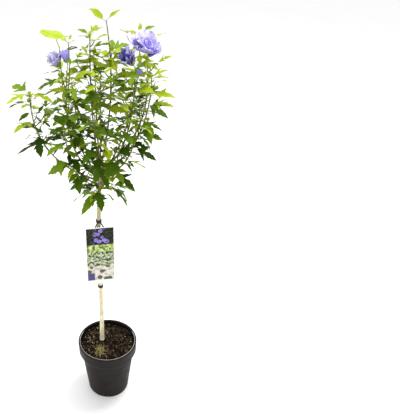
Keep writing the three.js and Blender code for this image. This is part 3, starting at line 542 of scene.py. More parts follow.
@dataclass
class Mass:
    """One mass of foliage: a stem with its twigs, leaves and blossom, in the space of the plant."""

    row: StemRow
    stem: Limb
    dice: Dice
    space: Space
    twigs: list[Limb] = field(default_factory=list)
    forks: list[Fork] = field(default_factory=list)
    leaves: list[Leaf] = field(default_factory=list)
    flowers: list[Flower] = field(default_factory=list)

    def sprout(
        self, limb: Limb, share: float, azimuth: float, pitch: float, twist: float, length: float, age: float = 1.0
    ) -> Optional[Leaf]:
        """Places one leaf on a limb, turned round it until it touches nothing, or skips it.

        Args:
            limb: what the leaf grows on.
            share: where on the limb.
            azimuth: the way the leaf points first, in degrees.
            pitch: how far it rises, in degrees.
            twist: how far it is turned on its length, in degrees.
            length: the length of its blade.
            age: 0 for a young leaf, 1 for an old one.

        Returns:
            The leaf, or None where it was skipped.
        """
        root, along = limb.point(share), limb.direction(share)
        for turn in RULE.turns:
            leaf = Leaf(root, along, azimuth + turn, pitch, twist, length, age)
            balls = leaf.balls()
            roomy = (np.linalg.norm(balls.centres - root, axis=1) < RULE.room).all()
            if roomy and self.space.clear(balls, self.row.name):
                self.space.add(balls, self.row.name, True)
                self.leaves.append(leaf)
                return leaf
        return None

    def twig_out(self, start: Point, azimuth: float, length: float) -> Optional[Limb]:
        """Grows one side twig where it touches nothing.

        Args:
            start: where the twig leaves its stem.
            azimuth: the way it leans, in degrees.
            length: how long it is.

        Returns:
            The twig, or None where it was skipped.
        """
        top = start[2] + length * RULE.sprig_up
        curve = bend(start, azimuth, length * RULE.sprig_out, top, RULE.sprig_elbow)
        limb = Limb(curve, outward(azimuth - 90), 0, 1, RULE.fork_radius, RULE.twig_tip)
        balls = limb.balls(RULE.spacing)
        balls.near[:2] = True
        if not self.space.clear(balls, self.row.name):
            return None
        self.space.add(balls, self.row.name)
        self.twigs.append(limb)
        return limb

    def sprig_out(self, share: float, index: int) -> None:
        """Forks one of the stem's side twigs, with its leaves to come."""
        azimuth = self.row.phase + 80 + index * GOLDEN_ANGLE + self.dice.within(30)
        length = self.dice.between(*RULE.sprig_length)
        limb = self.twig_out(self.stem.point(share), azimuth, length)
        if limb:
            self.forks.append(Fork(limb, 1, self.row.size * RULE.sprig_leaf, azimuth + 70, Tips.PAIR))

    def crown_tip(self, fork: Fork) -> None:
        """Places the leaves that end a limb."""
        tip: Tip = fork.tip.value
        for i in range(tip.leaves):
            azimuth = fork.phase + tip.start + (tip.arc * i) / max(1, tip.leaves - 1) + self.dice.within(14)
            pitch = tip.pitch + self.dice.within(10)
            twist = tip.open * copysign(1, cos(radians(azimuth))) + self.dice.within(18)
            length = fork.size * tip.share * self.dice.between(0.85, 1.1)
            self.sprout(fork.limb, 1 - 0.012 * i, azimuth, pitch, twist, length, 0.0)

    def leaf_out(self, fork: Fork, first: float, last: float) -> None:
        """Places the leaves along a limb, one at each node, in a spiral."""
        for i in range(fork.leaves):
            t = (i + 0.5) / fork.leaves
            share = lerp(first, last, t)
            azimuth = fork.phase + i * GOLDEN_ANGLE + self.dice.within(22)
            pitch = RULE.pitch_at(fork.limb.point(share)[2]) + self.dice.within(16)
            twist = self.dice.within(36)
            length = fork.size * (1.04 - 0.24 * t * t) * self.dice.between(0.84, 1.1)
            self.sprout(fork.limb, share, azimuth, pitch, twist, length, 1 - t)

    def refine(self) -> None:
        """Carries the mass to finer twigs and smaller leaves between the ones it has."""
        dice = Dice(self.row.seed + 1009)
        size, count = self.row.size, 2 * self.row.leaves + 3
        for i in range(count):
            share = lerp(0.03, self.row.leaf_end, (i + 0.5) / count)
            place = self.stem.point(share)
            azimuth = self.row.phase + 70 + i * GOLDEN_ANGLE + dice.within(30)
            pitch = RULE.pitch_at(place[2]) + dice.within(22)
            broader = 1 if RULE.dense[0] < place[2] < RULE.dense[1] else RULE.fine_broader
            length = size * dice.between(*RULE.fine_leaf) * broader
            if i % 3 == 0:
                spur = self.twig_out(place, azimuth, dice.between(*RULE.spur_length))
                if spur:
                    self.crown_tip(Fork(spur, 0, size * RULE.spur_leaf * broader, azimuth, Tips.PAIR))
                continue
            twist = dice.within(36)
            leaf = self.sprout(self.stem, share, azimuth, pitch, twist, length)
            if not leaf and broader > 1:
                leaf = self.sprout(self.stem, share, azimuth, pitch, twist, length * RULE.fine_retry)
            if leaf:
                leaf.age = dice.between(0.2, 1)
        self._fill_out(dice)

    def _fill_out(self, dice: Dice) -> None:
        """Places young leaves under the open tips of the crown, and a few more on the side twigs."""
        for i in range(RULE.young_leaves):
            share = lerp(0.5, self.row.leaf_end, (i + 0.5) / RULE.young_leaves)
            length = self.row.size * dice.between(*RULE.young_leaf)
            azimuth = self.row.phase + 200 + i * GOLDEN_ANGLE
            if RULE.dense[1] < self.stem.point(share)[2] < RULE.open_from:
                for smaller in (1, 0.75, 0.5):
                    pitch, twist = dice.between(-30, 20), dice.within(40)
                    leaf = self.sprout(self.stem, share, azimuth, pitch, twist, length * smaller)
                    if leaf:
                        leaf.age = dice.between(0, 0.4)
                        break
        for fork in list(self.forks):
            for i in range(RULE.fork_leaves):
                share = dice.between(0.2, 0.85)
                azimuth = fork.phase + 120 + i * GOLDEN_ANGLE
                length = fork.size * dice.between(*RULE.fork_leaf)
                self.sprout(fork.limb, share, azimuth, dice.between(-25, 20), dice.within(36), length)


class Plant:
    """The whole plant's limbs, leaves and blossom, grown by the rule."""

    def __init__(self) -> None:
        """Grows the plant: the limbs first, then blossom, then the leaves of one mass after another."""
        self.space = Space()
        self.boughs: list[tuple[str, Limb]] = []
        self.masses: dict[str, Mass] = {}
        self._grow_limbs()
        self._place_blossom()
        for mass in self.masses.values():
            row = mass.row
            if row in STEMS:
                for i, share in enumerate(RULE.sprig_at):
                    mass.sprig_out(share, i)
            whole = Fork(mass.stem, row.leaves, row.size, row.phase, row.tip)
            mass.crown_tip(whole)
            for fork in mass.forks:
                mass.crown_tip(fork)
                mass.leaf_out(fork, 0.3, 0.9)
            mass.leaf_out(whole, 0.05, row.leaf_end)
        for mass in self.masses.values():
            mass.refine()

    def _grow_limbs(self) -> None:
        """Places the trunk, boughs, stems, low shoots and forks."""
        height = TRUNK.soil
        while height <= TRUNK.top:
            self.space.add(Balls.of([(TRUNK.middle(height), TRUNK.radius(height), False)]), "trunk")
            height += 2 * RULE.spacing
        for row in STEMS:
            curve, side = row.curve(TRUNK.middle(row.start)), outward(row.azimuth - 90)
            half = RULE.clearance / 2 / curve.length()
            bough = Limb(curve, side, 0, row.bare - half, RULE.bough_radius, RULE.bough_tip)
            stem = Limb(curve, side, row.bare + half, 1, RULE.bough_tip, RULE.twig_tip)
            self.boughs.append((row.name, bough))
            self.masses[row.name] = Mass(row, stem, Dice(row.seed), self.space)
            self.space.add(bough.balls(RULE.spacing, 2), "bough_" + row.name)
            self.space.add(stem.balls(RULE.spacing), row.name)
        for row in LOW_SHOOTS:
            for turn in RULE.turns:
                curve, side = row.curve(TRUNK.middle(row.start), turn / 2), outward(row.azimuth + turn / 2 - 90)
                stem = Limb(curve, side, 0, 1, RULE.bough_tip, RULE.twig_tip)
                balls = stem.balls(RULE.spacing, 3)
                if self.space.clear(balls, row.name):
                    self.masses[row.name] = Mass(row, stem, Dice(row.seed), self.space)
                    self.space.add(balls, row.name)
                    break
        for share, row in FORKS:
            mass = self.masses[row.name]
            curve, side = row.curve(mass.stem.point(share)), outward(row.azimuth - 90)
            fork = Limb(curve, side, 0, 1, RULE.fork_radius, RULE.twig_tip)
            mass.forks.append(Fork(fork, row.leaves, row.size, row.phase, row.tip))
            mass.twigs.append(fork)
            self.space.add(fork.balls(RULE.spacing), row.name)

    def _place_blossom(self) -> None:
        """Places the flowers and keeps the room that they need."""
        for row in BLOSSOM:
            mass = self.masses[row.on]
            limb = mass.stem if row.fork < 0 else mass.forks[row.fork].limb
            facing = heading(row.azimuth, row.lift)
            root = limb.point(row.at)
            base = root + facing * row.stalk
            mass.flowers.append(Flower(row, root, base, facing))
            middle, reach = BLOOM_ROOM[row.bloom]
            centre = base + facing * (row.width * middle)
            self.space.add(Balls.of([(centre, row.width * reach, False)]), row.on)


# ---- meshes


@dataclass
class Shape:
    """A small triangulated mesh as arrays, to be copied and gathered."""

    points: Array
    faces: Array
    uvs: Array

    @classmethod
    def of(cls, bm: BMesh) -> "Shape":
        """Takes a bmesh, triangulates it, frees it and returns it as arrays."""
        bmesh.ops.triangulate(bm, faces=bm.faces[:])
        bm.verts.index_update()
        layer = bm.loops.layers.uv.active
        points = np.array([v.co[:] for v in bm.verts])
        faces = np.array([[v.index for v in f.verts] for f in bm.faces])
        uvs = np.zeros((len(faces), 3, 2))
        if layer:
            uvs = np.array([[loop[layer].uv[:] for loop in f.loops] for f in bm.faces])
        bm.free()
        return cls(points, faces, uvs)


class Batch:
    """Shapes gathered into one mesh, each face with its finish."""

    def __init__(self, *shapes: Shape) -> None:
        """Starts with some shapes of the first finish."""
        self.parts: list[tuple[Array, ...]] = []
        self.count = 0
        for shape in shapes:
            self.add(shape)

    def add(self, shape: Shape, finish: Union[int, Array] = 0, points: Optional[Array] = None) -> None:
        """Gathers one shape.

        Args:
            shape: its faces and its pattern coordinates.
            finish: the number of its finish, or one number for each face.
            points: where its points lie, if not where the shape has them.
        """
        points = shape.points if points is None else points
        finishes = np.broadcast_to(finish, len(shape.faces))
        self.parts.append((points, shape.faces + self.count, shape.uvs, finishes))
        self.count += len(points)

    def mesh(self) -> Mesh:
        """The gathered shapes as one smooth mesh in metres."""
        points, faces, uvs, finishes = (np.concatenate(column) for column in zip(*self.parts))
        mesh = bpy.data.meshes.new("piece")
        mesh.vertices.add(len(points))
        mesh.vertices.foreach_set("co", (points * MM).astype(np.float32).ravel())
        mesh.loops.add(faces.size)
        mesh.loops.foreach_set("vertex_index", faces.astype(np.int32).ravel())
        mesh.polygons.add(len(faces))
        mesh.polygons.foreach_set("loop_start", np.arange(0, faces.size, 3, dtype=np.int32))
        mesh.polygons.foreach_set("material_index", finishes.astype(np.int32))
        mesh.polygons.foreach_set("use_smooth", np.ones(len(faces), dtype=bool))
        mesh.uv_layers.new(name="UVMap").data.foreach_set("uv", uvs.astype(np.float32).ravel())
        mesh.update(calc_edges=True)
        mesh.validate()
        return mesh


def sheet(across: int, along: int, place: Surface, wrap: bool = False) -> BMesh:
    """A grid drawn to a surface.

    Args:
        across: how many faces it has from left to right.
        along: how many faces it has from foot to top.
        place: gives the point at shares across and along.
        wrap: whether the right edge meets the left one.

    Returns:
        The bmesh, with its pattern coordinates.
    """
    bm = bmesh.new()
    bm.loops.layers.uv.new("UVMap")
    bmesh.ops.create_grid(bm, x_segments=across, y_segments=along, size=0.5, calc_uvs=True)
    for vert in bm.verts:
        vert.co = place(vert.co.x + 0.5, vert.co.y + 0.5)
    if wrap:
        bmesh.ops.remove_doubles(bm, verts=bm.verts[:], dist=1e-5)
    return bm


def face_out(bm: BMesh) -> BMesh:
    """Turns a closed shape's faces out."""
    bmesh.ops.recalc_face_normals(bm, faces=bm.faces[:])
    return bm


def map_faces(bm: BMesh, place: Callable[[Vector], Pair]) -> None:
    """Gives each corner its pattern coordinates, by its point."""
    layer = bm.loops.layers.uv.new("UVMap")
    for face in bm.faces:
        for loop in face.loops:
            loop[layer].uv = place(loop.vert.co)


def close_ends(bm: BMesh) -> BMesh:
    """Fills the open ends of a tube and turns its faces out."""
    bmesh.ops.holes_fill(bm, edges=[edge for edge in bm.edges if edge.is_boundary], sides=0)
    return face_out(bm)


def thicken(bm: BMesh, thickness: float) -> BMesh:
    """Gives an open sheet a wall, with its faces out."""
    bmesh.ops.solidify(bm, geom=bm.faces[:], thickness=thickness)
    return face_out(bm)


def revolve(profile: Sequence[Pair], steps: int) -> BMesh:
    """A profile of radius and height spun about the upright axis.

    Args:
        profile: rows of radius and height.
        steps: how many faces it has round.

    Returns:
        The closed bmesh, faces out.
    """
    bm = bmesh.new()
    verts = [bm.verts.new((radius, 0, height)) for radius, height in profile]
    for first, second in zip(verts, verts[1:]):
        bm.edges.new((first, second))
    bmesh.ops.spin(
        bm, geom=bm.verts[:] + bm.edges[:], cent=(0, 0, 0), axis=(0, 0, 1), dvec=(0, 0, 0),
        angle=tau, steps=steps, use_merge=True, use_duplicate=False,
    )
    bmesh.ops.remove_doubles(bm, verts=bm.verts[:], dist=1e-4)
    return face_out(bm)


def stand(bm: BMesh, base: Point, facing: Point) -> BMesh:
    """Moves an upright bmesh to a base point, along the way it faces."""
    turn = Vector((0, 0, 1)).rotation_difference(Vector(facing)).to_matrix().to_4x4()
    turn.translation = Vector(base)
    bmesh.ops.transform(bm, matrix=turn, verts=bm.verts[:])
    return bm


def rough(x: float, y: float, z: float) -> float:
    """An uneven value at a place, about zero."""
    return noise.noise(Vector((x, y, z)))


def round_limb(points: Array, radii: Array, side: Point, sides: int, relief: float = 0.0) -> Shape:
    """A tapering round limb through points, closed at both ends.

    Args:
        points: its middles.
        radii: its radius at each.
        side: a level vector that the rings start from.
        sides: how many faces it has round.
        relief: how far the bark's ridges rise.

    Returns:
        The limb.
    """
    last = len(points) - 1
    ahead = np.gradient(points, axis=0)
    ahead /= np.linalg.norm(ahead, axis=1)[:, None]

    def place(u: float, v: float) -> Vector:
        i = int(round(v * last))
        right = unit(side - ahead[i] * np.dot(ahead[i], side))
        top = np.cross(ahead[i], right)
        out = right * cos(tau * u) + top * sin(tau * u)
        rise = 0.0
        if relief:
            at = Vector(points[i] + out * radii[i])
            pores = noise.noise(at * 0.7 + Vector((9, 4, 2)))
            rise = relief * (rough(at.x * 0.9, at.y * 0.9, at.z * 0.16) + 0.8 * max(0, pores - 0.25))
        return Vector(points[i] + out * (radii[i] + rise))

    return Shape.of(close_ends(sheet(sides, last, place, wrap=True)))


def added(name: str, data: bpy.types.ID) -> bpy.types.Object:
    """A new object in the scene."""
    item = bpy.data.objects.new(name, data)
    bpy.context.scene.collection.objects.link(item)
    return item


def as_mesh(bm: BMesh, scale: float = MM, smooth: bool = True) -> Mesh:
    """A bmesh as a mesh, brought to metres by scale; the bmesh is freed."""
    bmesh.ops.scale(bm, vec=(scale, scale, scale), verts=bm.verts[:])
    for face in bm.faces:
        face.smooth = smooth
    mesh = bpy.data.meshes.new("piece")
    bm.to_mesh(mesh)
    bm.free()
    return mesh


def make_piece(name: str, mesh: Mesh, finishes: Sequence["Finishes"], slot: str, *replaced: str) -> None:
    """Makes a piece: it rides on the plant's one body and stands for its solids.

    Args:
        name: its plain name.
        mesh: its mesh, in place.
        finishes: what its faces are finished with, by number.
        slot: the record's material slot; not used.
        replaced: the solids that it stands for.
    """
    mesh.name = name
    for finish in finishes:
        mesh.materials.append(Cupboard.take(finish))
    piece = added(name, mesh)
    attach(piece, BODY)
    if replaced:
        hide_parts(*replaced)
    LOG.info("%s: %d faces", name, len(mesh.polygons))


# ---- finishes


class Graph:
    """A node tree, with short ways to add nodes and join them."""

    def __init__(self, tree: NodeTree) -> None:
        """Works on a tree."""
        self.tree = tree

    def add(self, kind: str, inputs: Inputs, **settings: object) -> Node:
        """Adds a node of a kind with its inputs and its settings."""
        node = self.tree.nodes.new(kind if kind.startswith("Node") else "ShaderNode" + kind)
        for key, value in settings.items():
            setattr(node, key, value)
        self.fill(node, inputs)
        return node

    def fill(self, node: Node, inputs: Inputs) -> None:
        """Joins a node's inputs to other sockets, or sets them to numbers and colours."""
        for key, value in inputs.items():
            socket = node.inputs[key]
            if isinstance(value, Socket):
                self.tree.links.new(value, socket)
            else:
                socket.default_value = (*value, 1.0) if socket.type == "RGBA" else value

    def math(self, operation: str, first: Value, second: Value = 0.0) -> Socket:
        """The result of a sum on two values."""
        return self.add("Math", {0: first, 1: second}, operation=operation).outputs[0]

    def plus(self, first: Value, second: Value) -> Socket:
        """The sum of two values."""
        return self.math("ADD", first, second)

    def less(self, first: Value, second: Value) -> Socket:
        """The first value less the second."""
        return self.math("SUBTRACT", first, second)

    def times(self, first: Value, second: Value) -> Socket:
        """The product of two values."""
        return self.math("MULTIPLY", first, second)

    def wave(self, value: Value, pace: float) -> Socket:
        """How far a wave of a pace is from zero."""
        return self.math("ABSOLUTE", self.math("SINE", self.times(value, pace)))

    def mix(self, factor: Value, first: Value, second: Value) -> Socket:
        """The mix of two colours."""
        return self.add("Mix", {0: factor, 6: first, 7: second}, data_type="RGBA").outputs[2]

    def step(self, value: Value, low: float, high: float) -> Socket:
        """A smooth rise from 0 at low to 1 at high."""
        inputs = {0: value, 1: low, 2: high}
        return self.add("MapRange", inputs, interpolation_type="SMOOTHSTEP").outputs[0]

    def noise(self, vector: Socket, scale: Value, detail: float = 3.0, roughness: float = 0.55) -> Socket:
        """The strength of a noise at a place."""
        inputs = {"Vector": vector, "Scale": scale, "Detail": detail, "Roughness": roughness}
        return self.add("TexNoise", inputs).outputs["Fac"]

    def stretched(self, vector: Socket, scale: Sequence[float]) -> Socket:
        """A place with its axes stretched."""
        return self.add("Mapping", {"Vector": vector, "Scale": scale}).outputs[0]

    def place(self, output: str = "Object") -> Socket:
        """The place on the piece: Object for metres, UV for the piece's own pattern coordinates."""
        return self.add("TexCoord", {}).outputs[output]

    def parts(self, output: str = "Object") -> Sequence[Socket]:
        """The place on the piece, axis by axis."""
        return self.add("SeparateXYZ", {0: self.place(output)}).outputs

    def relief(self, height: Socket, depth: float, strength: float = 1.0) -> Socket:
        """The way the surface looks with a relief of a depth in metres."""
        return self.add("Bump", {"Height": height, "Distance": depth, "Strength": strength}).outputs[0]

    def use(self, draw: "Draw", **values: Value) -> Sockets:
        """Places a shared effect with its own values and gives its outputs."""
        return self.add("Group", values, node_tree=Effects.take(draw, values)).outputs


Draw = Callable[[Graph, Sockets], Sockets]


class Effects:
    """Shader groups that several finishes share, each built once."""

    made: dict[str, NodeTree] = {}

    @classmethod
    def take(cls, draw: Draw, values: dict[str, Value]) -> NodeTree:
        """The group of an effect, with named inputs and outputs.

        Args:
            draw: lays the effect's nodes from the group's inputs and gives its outputs.
            values: the inputs' first values.

        Returns:
            The group.
        """
        name = draw.__name__
        if name in cls.made:
            return cls.made[name]
        tree = cls.made[name] = bpy.data.node_groups.new(name, "ShaderNodeTree")
        for title, value in values.items():
            kind = "NodeSocketColor" if isinstance(value, tuple) else "NodeSocketFloat"
            socket = tree.interface.new_socket(name=title, in_out="INPUT", socket_type=kind)
            socket.default_value = (*value, 1.0) if isinstance(value, tuple) else value
        graph = Graph(tree)
        entry = graph.add("NodeGroupInput", {})
        drawn = draw(graph, {socket.name: socket for socket in entry.outputs if socket.name})
        for title in drawn:
            kind = "NodeSocketColor" if title == "Colour" else "NodeSocketFloat"
            tree.interface.new_socket(name=title, in_out="OUTPUT", socket_type=kind)
        graph.add("NodeGroupOutput", drawn)
        return tree

    @staticmethod
    def mottle(graph: Graph, given: Sockets) -> Sockets:
        """Uneven colour, gloss and grain, on a piece's place in metres."""
        place = graph.place()
        patches = graph.step(graph.noise(place, given["Scale"], 4.0), 0.38, 0.66)
        return {
            "Colour": graph.mix(graph.times(patches, given["Amount"]), given["Colour"], given["Patches"]),
            "Roughness": graph.plus(given["Roughness"], graph.times(graph.less(patches, 0.5), 0.14)),
            "Height": graph.noise(place, given["Grain"], 2.0),
        }

    @staticmethod
    def bark(graph: Graph, given: Sockets) -> Sockets:
        """Bark: long grain, pale patches and cross pores."""
        place = graph.place()
        grain = graph.noise(graph.stretched(place, (1, 1, 0.09)), given["Scale"], 5.0, 0.65)
        pale = graph.step(graph.noise(graph.stretched(place, (1, 1, 0.35)), 55.0, 3.0), 0.46, 0.66)
        pores = graph.step(graph.noise(graph.stretched(place, (0.35, 0.35, 1.6)), 420.0, 1.0), 0.63, 0.72)
        ground = graph.mix(pale, given["Colour"], given["Pale"])
        lined = graph.mix(graph.times(graph.step(grain, 0.52, 0.7), 0.75), ground, given["Grain"])
        return {
            "Colour": graph.mix(graph.times(pores, 0.6), lined, given["Grain"]),
            "Height": graph.less(pores, grain),
        }

    @staticmethod
    def veins(graph: Graph, given: Sockets) -> Sockets:
        """A leaf's midrib, its two side ribs and their branches, on the blade's own coordinates."""
        across, along, _ = graph.parts("UV")
        aside = graph.math("ABSOLUTE", graph.less(across, 0.5))
        midrib = graph.step(aside, 0.014, 0.003)
        slant = graph.math("ABSOLUTE", graph.less(graph.times(along, 0.74), graph.times(aside, 0.67)))
        side_rib = graph.times(graph.step(slant, 0.011, 0.002), graph.step(along, 0.52, 0.42))
        branches = graph.step(graph.wave(graph.less(along, graph.times(aside, 0.85)), 26.0), 0.16, 0.03)
        ribs = graph.math("MAXIMUM", graph.math("MAXIMUM", midrib, side_rib), graph.times(branches, 0.55))
        return {
            "Colour": graph.mix(graph.times(ribs, given["Amount"]), given["Colour"], given["Veins"]),
            "Height": ribs,
        }

    @staticmethod
    def flush(graph: Graph, given: Sockets) -> Sockets:
        """A petal's rim, its fine ribs that fan out, and the flush at its foot."""
        across, along, _ = graph.parts("UV")
        fan = graph.wave(graph.less(across, 0.5), 42.0)
        ribs = graph.times(graph.step(fan, 0.4, 0.05), graph.step(along, 1.0, 0.35))
        body = graph.mix(graph.step(along, 0.55, 1.0), given["Colour"], given["Rim"])
        ribbed = graph.mix(graph.times(ribs, 0.42), body, given["Ribs"])
        edge = graph.plus(along, graph.times(ribs, -0.12))
        foot = graph.step(graph.math("DIVIDE", edge, given["Reach"]), 1.0, 0.35)
        return {"Colour": graph.mix(foot, ribbed, given["Foot"]), "Height": ribs}


@dataclass(frozen=True)
class Finish:
    """A finish: its name, its colours and how its surface takes the light."""

    name: str
    colour: Colour
    roughness: float
    specular: float

    def build(self) -> Material:
        """The finish as a material."""
        material = bpy.data.materials.new(self.name)
        material.use_nodes = True
        material.diffuse_color = (*self.colour, 1.0)
        graph = Graph(material.node_tree)
        plain = {"Base Color": self.colour, "Roughness": self.roughness, "Specular IOR Level": self.specular}
        graph.fill(material.node_tree.nodes["Principled BSDF"], {**plain, **self.lay(graph)})
        return material

    def lay(self, graph: Graph) -> Inputs:
        """Lays the finish's own nodes and gives what they feed to the shader."""
        raise NotImplementedError(self.name)


@dataclass(frozen=True)
class MottledFinish(Finish):
    """A finish with uneven colour and a fine grain."""

    patches: Colour
    scale: float
    amount: float
    grain: float
    depth: float = 0.0002
    sheen: float = 0.0

    def lay(self, graph: Graph) -> Inputs:
        """Lays the uneven colour, gloss and grain."""
        made = graph.use(
            Effects.mottle, Colour=self.colour, Patches=self.patches, Scale=self.scale, Amount=self.amount,
            Roughness=self.roughness, Grain=self.grain,
        )
        return {
            "Base Color": made["Colour"], "Roughness": made["Roughness"], "Sheen Weight": self.sheen,
            "Normal": graph.relief(made["Height"], self.depth),
        }


@dataclass(frozen=True)
class BarkFinish(Finish):
    """Bark with long grain, pale patches and cross pores; it turns to its upper colour as it rises, which on the
    trunk is partly painted shade under the crown and partly greener bark.
    """

    grain: Colour
    pale: Colour
    scale: float
    depth: float
    upper: Optional[Colour] = None
    turns_at: Pair = (0.42, 0.64)

    def lay(self, graph: Graph) -> Inputs:
        """Lays the grain, the patches and the pores."""
        made = graph.use(Effects.bark, Colour=self.colour, Grain=self.grain, Pale=self.pale, Scale=self.scale)
        colour = made["Colour"]
        # Darker and greener as it rises towards the crown: partly painted shade from the leaves above, partly greener
        # bark.
        if self.upper:
            rise = graph.times(graph.step(graph.parts()[2], *self.turns_at), 0.65)
            colour = graph.mix(rise, colour, self.upper)
        return {"Base Color": colour, "Normal": graph.relief(made["Height"], self.depth)}


@dataclass(frozen=True)
class LeafFinish(Finish):
    """A leaf's face: a soft satin with paler ribs and deeper patches."""

    veins: Colour
    amount: float
    depth: float = 0.0003
    deeper: float = 0.62
    gleam: Colour = (0.82, 1.0, 0.45)

    def lay(self, graph: Graph) -> Inputs:
        """Lays the ribs and the patches."""
        made = graph.use(Effects.veins, Colour=self.colour, Veins=self.veins, Amount=self.amount)
        deep = tuple(part * self.deeper for part in self.colour)
        shade = graph.times(graph.step(graph.noise(graph.place(), 38.0), 0.4, 0.68), 0.5)
        return {
            "Base Color": graph.mix(shade, made["Colour"], deep),
            "Roughness": graph.plus(self.roughness, graph.times(shade, 0.2)),
            "Specular Tint": self.gleam,
            "Normal": graph.relief(made["Height"], self.depth, 0.8),
        }


@dataclass(frozen=True)
class PetalFinish(Finish):
    """A petal: thin and silky, with fine ribs and a flush at its foot."""

    rim: Colour
    ribs: Colour
    foot: Colour
    reach: float
    sheen: float = 0.06
    sheen_roughness: float = 0.4

    def lay(self, graph: Graph) -> Inputs:
        """Lays the ribs and the flush."""
        made = graph.use(
            Effects.flush, Colour=self.colour, Rim=self.rim, Ribs=self.ribs, Foot=self.foot, Reach=self.reach
        )
        return {
            "Base Color": made["Colour"], "Sheen Weight": self.sheen, "Sheen Roughness": self.sheen_roughness,
            "Normal": graph.relief(made["Height"], 0.0002, 0.6),
        }


@dataclass(frozen=True)
class PrintFinish(Finish):
    """A card's printed face: plain panels with soft round motifs, and a white margin."""

    band_foot: float = 0.7
    meadow_foot: float = 0.56
    garden_foot: float = 0.32
    seam: float = 0.002
    meadow: Inks = ((0.36, 0.48, 0.1), (0.68, 0.74, 0.4), (0.1, 0.17, 0.03))
    garden: Inks = ((0.6, 0.58, 0.46), (0.3, 0.36, 0.18), (0.03, 0.07, 0.02))
    evening: Inks = ((0.74, 0.68, 0.62), (0.5, 0.46, 0.38), (0.08, 0.12, 0.05))
    shade: Inks = ((0.002, 0.004, 0.002), (0.05, 0.075, 0.03))
    bloom: Inks = ((0.2, 0.13, 0.52), (0.42, 0.34, 0.72))
    heart: Colour = (0.05, 0.02, 0.2)
    square: Colour = (0.07, 0.07, 0.2)

    def lay(self, graph: Graph) -> Inputs:
        """Lays the panels from the foot up, the margin and a faint wear."""
        face = graph.place("UV")
        across, up, _ = graph.parts("UV")
        blots = graph.stretched(face, (1.0, 2.5, 1.0))
        rings = graph.add("TexVoronoi", {"Vector": blots, "Scale": 4.2}, feature="F1").outputs["Distance"]
        motif, heart = graph.step(rings, 0.42, 0.34), graph.step(rings, 0.16, 0.1)
        soft = graph.step(graph.noise(blots, 7.0), 0.42, 0.6)
        clumps = graph.step(graph.noise(blots, 9.0, 2.0), 0.5, 0.55)
        flecks = graph.step(graph.noise(blots, 19.0, 2.0), 0.5, 0.62)

        def panel(colours: Inks, marks: Socket) -> Socket:
            return graph.mix(marks, graph.mix(soft, *colours[:2]), colours[2])

        def seam(height: float, below: Socket, above: Socket) -> Socket:
            return graph.mix(graph.step(up, height - self.seam, height + self.seam), below, above)

        inner = graph.times(graph.step(across, 0.24, 0.32), graph.step(across, 0.92, 0.84))
        ground, bloom = graph.mix(flecks, *self.shade), graph.mix(flecks, *self.bloom)
        band = graph.mix(graph.times(motif, inner), ground, bloom)
        band = graph.mix(graph.times(heart, inner), band, self.heart)
        corner = graph.times(graph.step(across, 0.3, 0.26), graph.step(up, 0.2, 0.18))
        foot = graph.mix(corner, panel(self.evening, motif), self.square)
        lower = seam(self.garden_foot, foot, panel(self.garden, clumps))
        upper = seam(self.band_foot, panel(self.meadow, clumps), band)
        side = graph.times(graph.step(across, 0.03, 0.034), graph.step(across, 0.97, 0.966))
        ends = graph.times(graph.step(up, 0.055, 0.058), graph.step(up, 0.986, 0.983))
        wear = graph.noise(graph.place(), 90.0)
        return {
            "Base Color": graph.mix(graph.times(side, ends), self.colour, seam(self.meadow_foot, lower, upper)),
            "Roughness": graph.plus(self.roughness, graph.times(wear, 0.16)),
            "Normal": graph.relief(wear, 0.0002, 0.3),
        }


class LeafTint(Enum):
    """The leaves' tints, from the brightest to the darkest: young leaves and leaves in painted light take the bright
    ones, old leaves and leaves in painted shade the dark ones.
    """

    LIME = LeafFinish("leaf_lime", (0.35, 0.45, 0.016), 0.5, 0.08, (0.51, 0.6, 0.07), 0.35)
    FRESH = LeafFinish("leaf_fresh", (0.163, 0.27, 0.01), 0.5, 0.08, (0.3, 0.42, 0.04), 0.4)
    GREEN = LeafFinish("leaf_green", (0.068, 0.142, 0.006), 0.48, 0.08, (0.14, 0.24, 0.025), 0.4)
    DEEP = LeafFinish("leaf_deep", (0.03, 0.068, 0.003), 0.48, 0.08, (0.068, 0.13, 0.015), 0.35)


class PetalTint(Enum):
    """The petals' tints."""

    PALE = PetalFinish(
        "petal_pale", (0.6, 0.55, 0.84), 0.55, 0.2, (0.76, 0.72, 0.92), (0.3, 0.23, 0.66), (0.32, 0.08, 0.4), 0.24
    )
    VIOLET = PetalFinish(
        "petal_violet", (0.34, 0.29, 0.78), 0.55, 0.2, (0.48, 0.44, 0.86), (0.11, 0.07, 0.46), (0.18, 0.08, 0.42),
        0.25,
    )
    LILAC = PetalFinish(
        "petal_lilac", (0.46, 0.42, 0.82), 0.55, 0.2, (0.68, 0.65, 0.9), (0.2, 0.16, 0.56), (0.24, 0.16, 0.5), 0.26
    )
    # Painted light in part: the pale outside of the half-open violet bloom and the petals on its lit side.
    DUSK = PetalFinish(
        "petal_dusk", (0.68, 0.66, 0.9), 0.55, 0.2, (0.5, 0.47, 0.8), (0.18, 0.15, 0.46), (0.12, 0.08, 0.26), 0.28
    )
    # Painted shade: the dark inside and heart of the half-open violet bloom.
    DEEP = PetalFinish(
        "petal_deep", (0.052, 0.04, 0.2), 0.5, 0.25, (0.09, 0.075, 0.32), (0.014, 0.008, 0.08), (0.04, 0.008, 0.07),
        0.34,
    )
    FADED = PetalFinish(
        "petal_faded", (0.2, 0.21, 0.42), 0.6, 0.15, (0.32, 0.34, 0.52), (0.1, 0.1, 0.26), (0.12, 0.16, 0.2), 0.3
    )


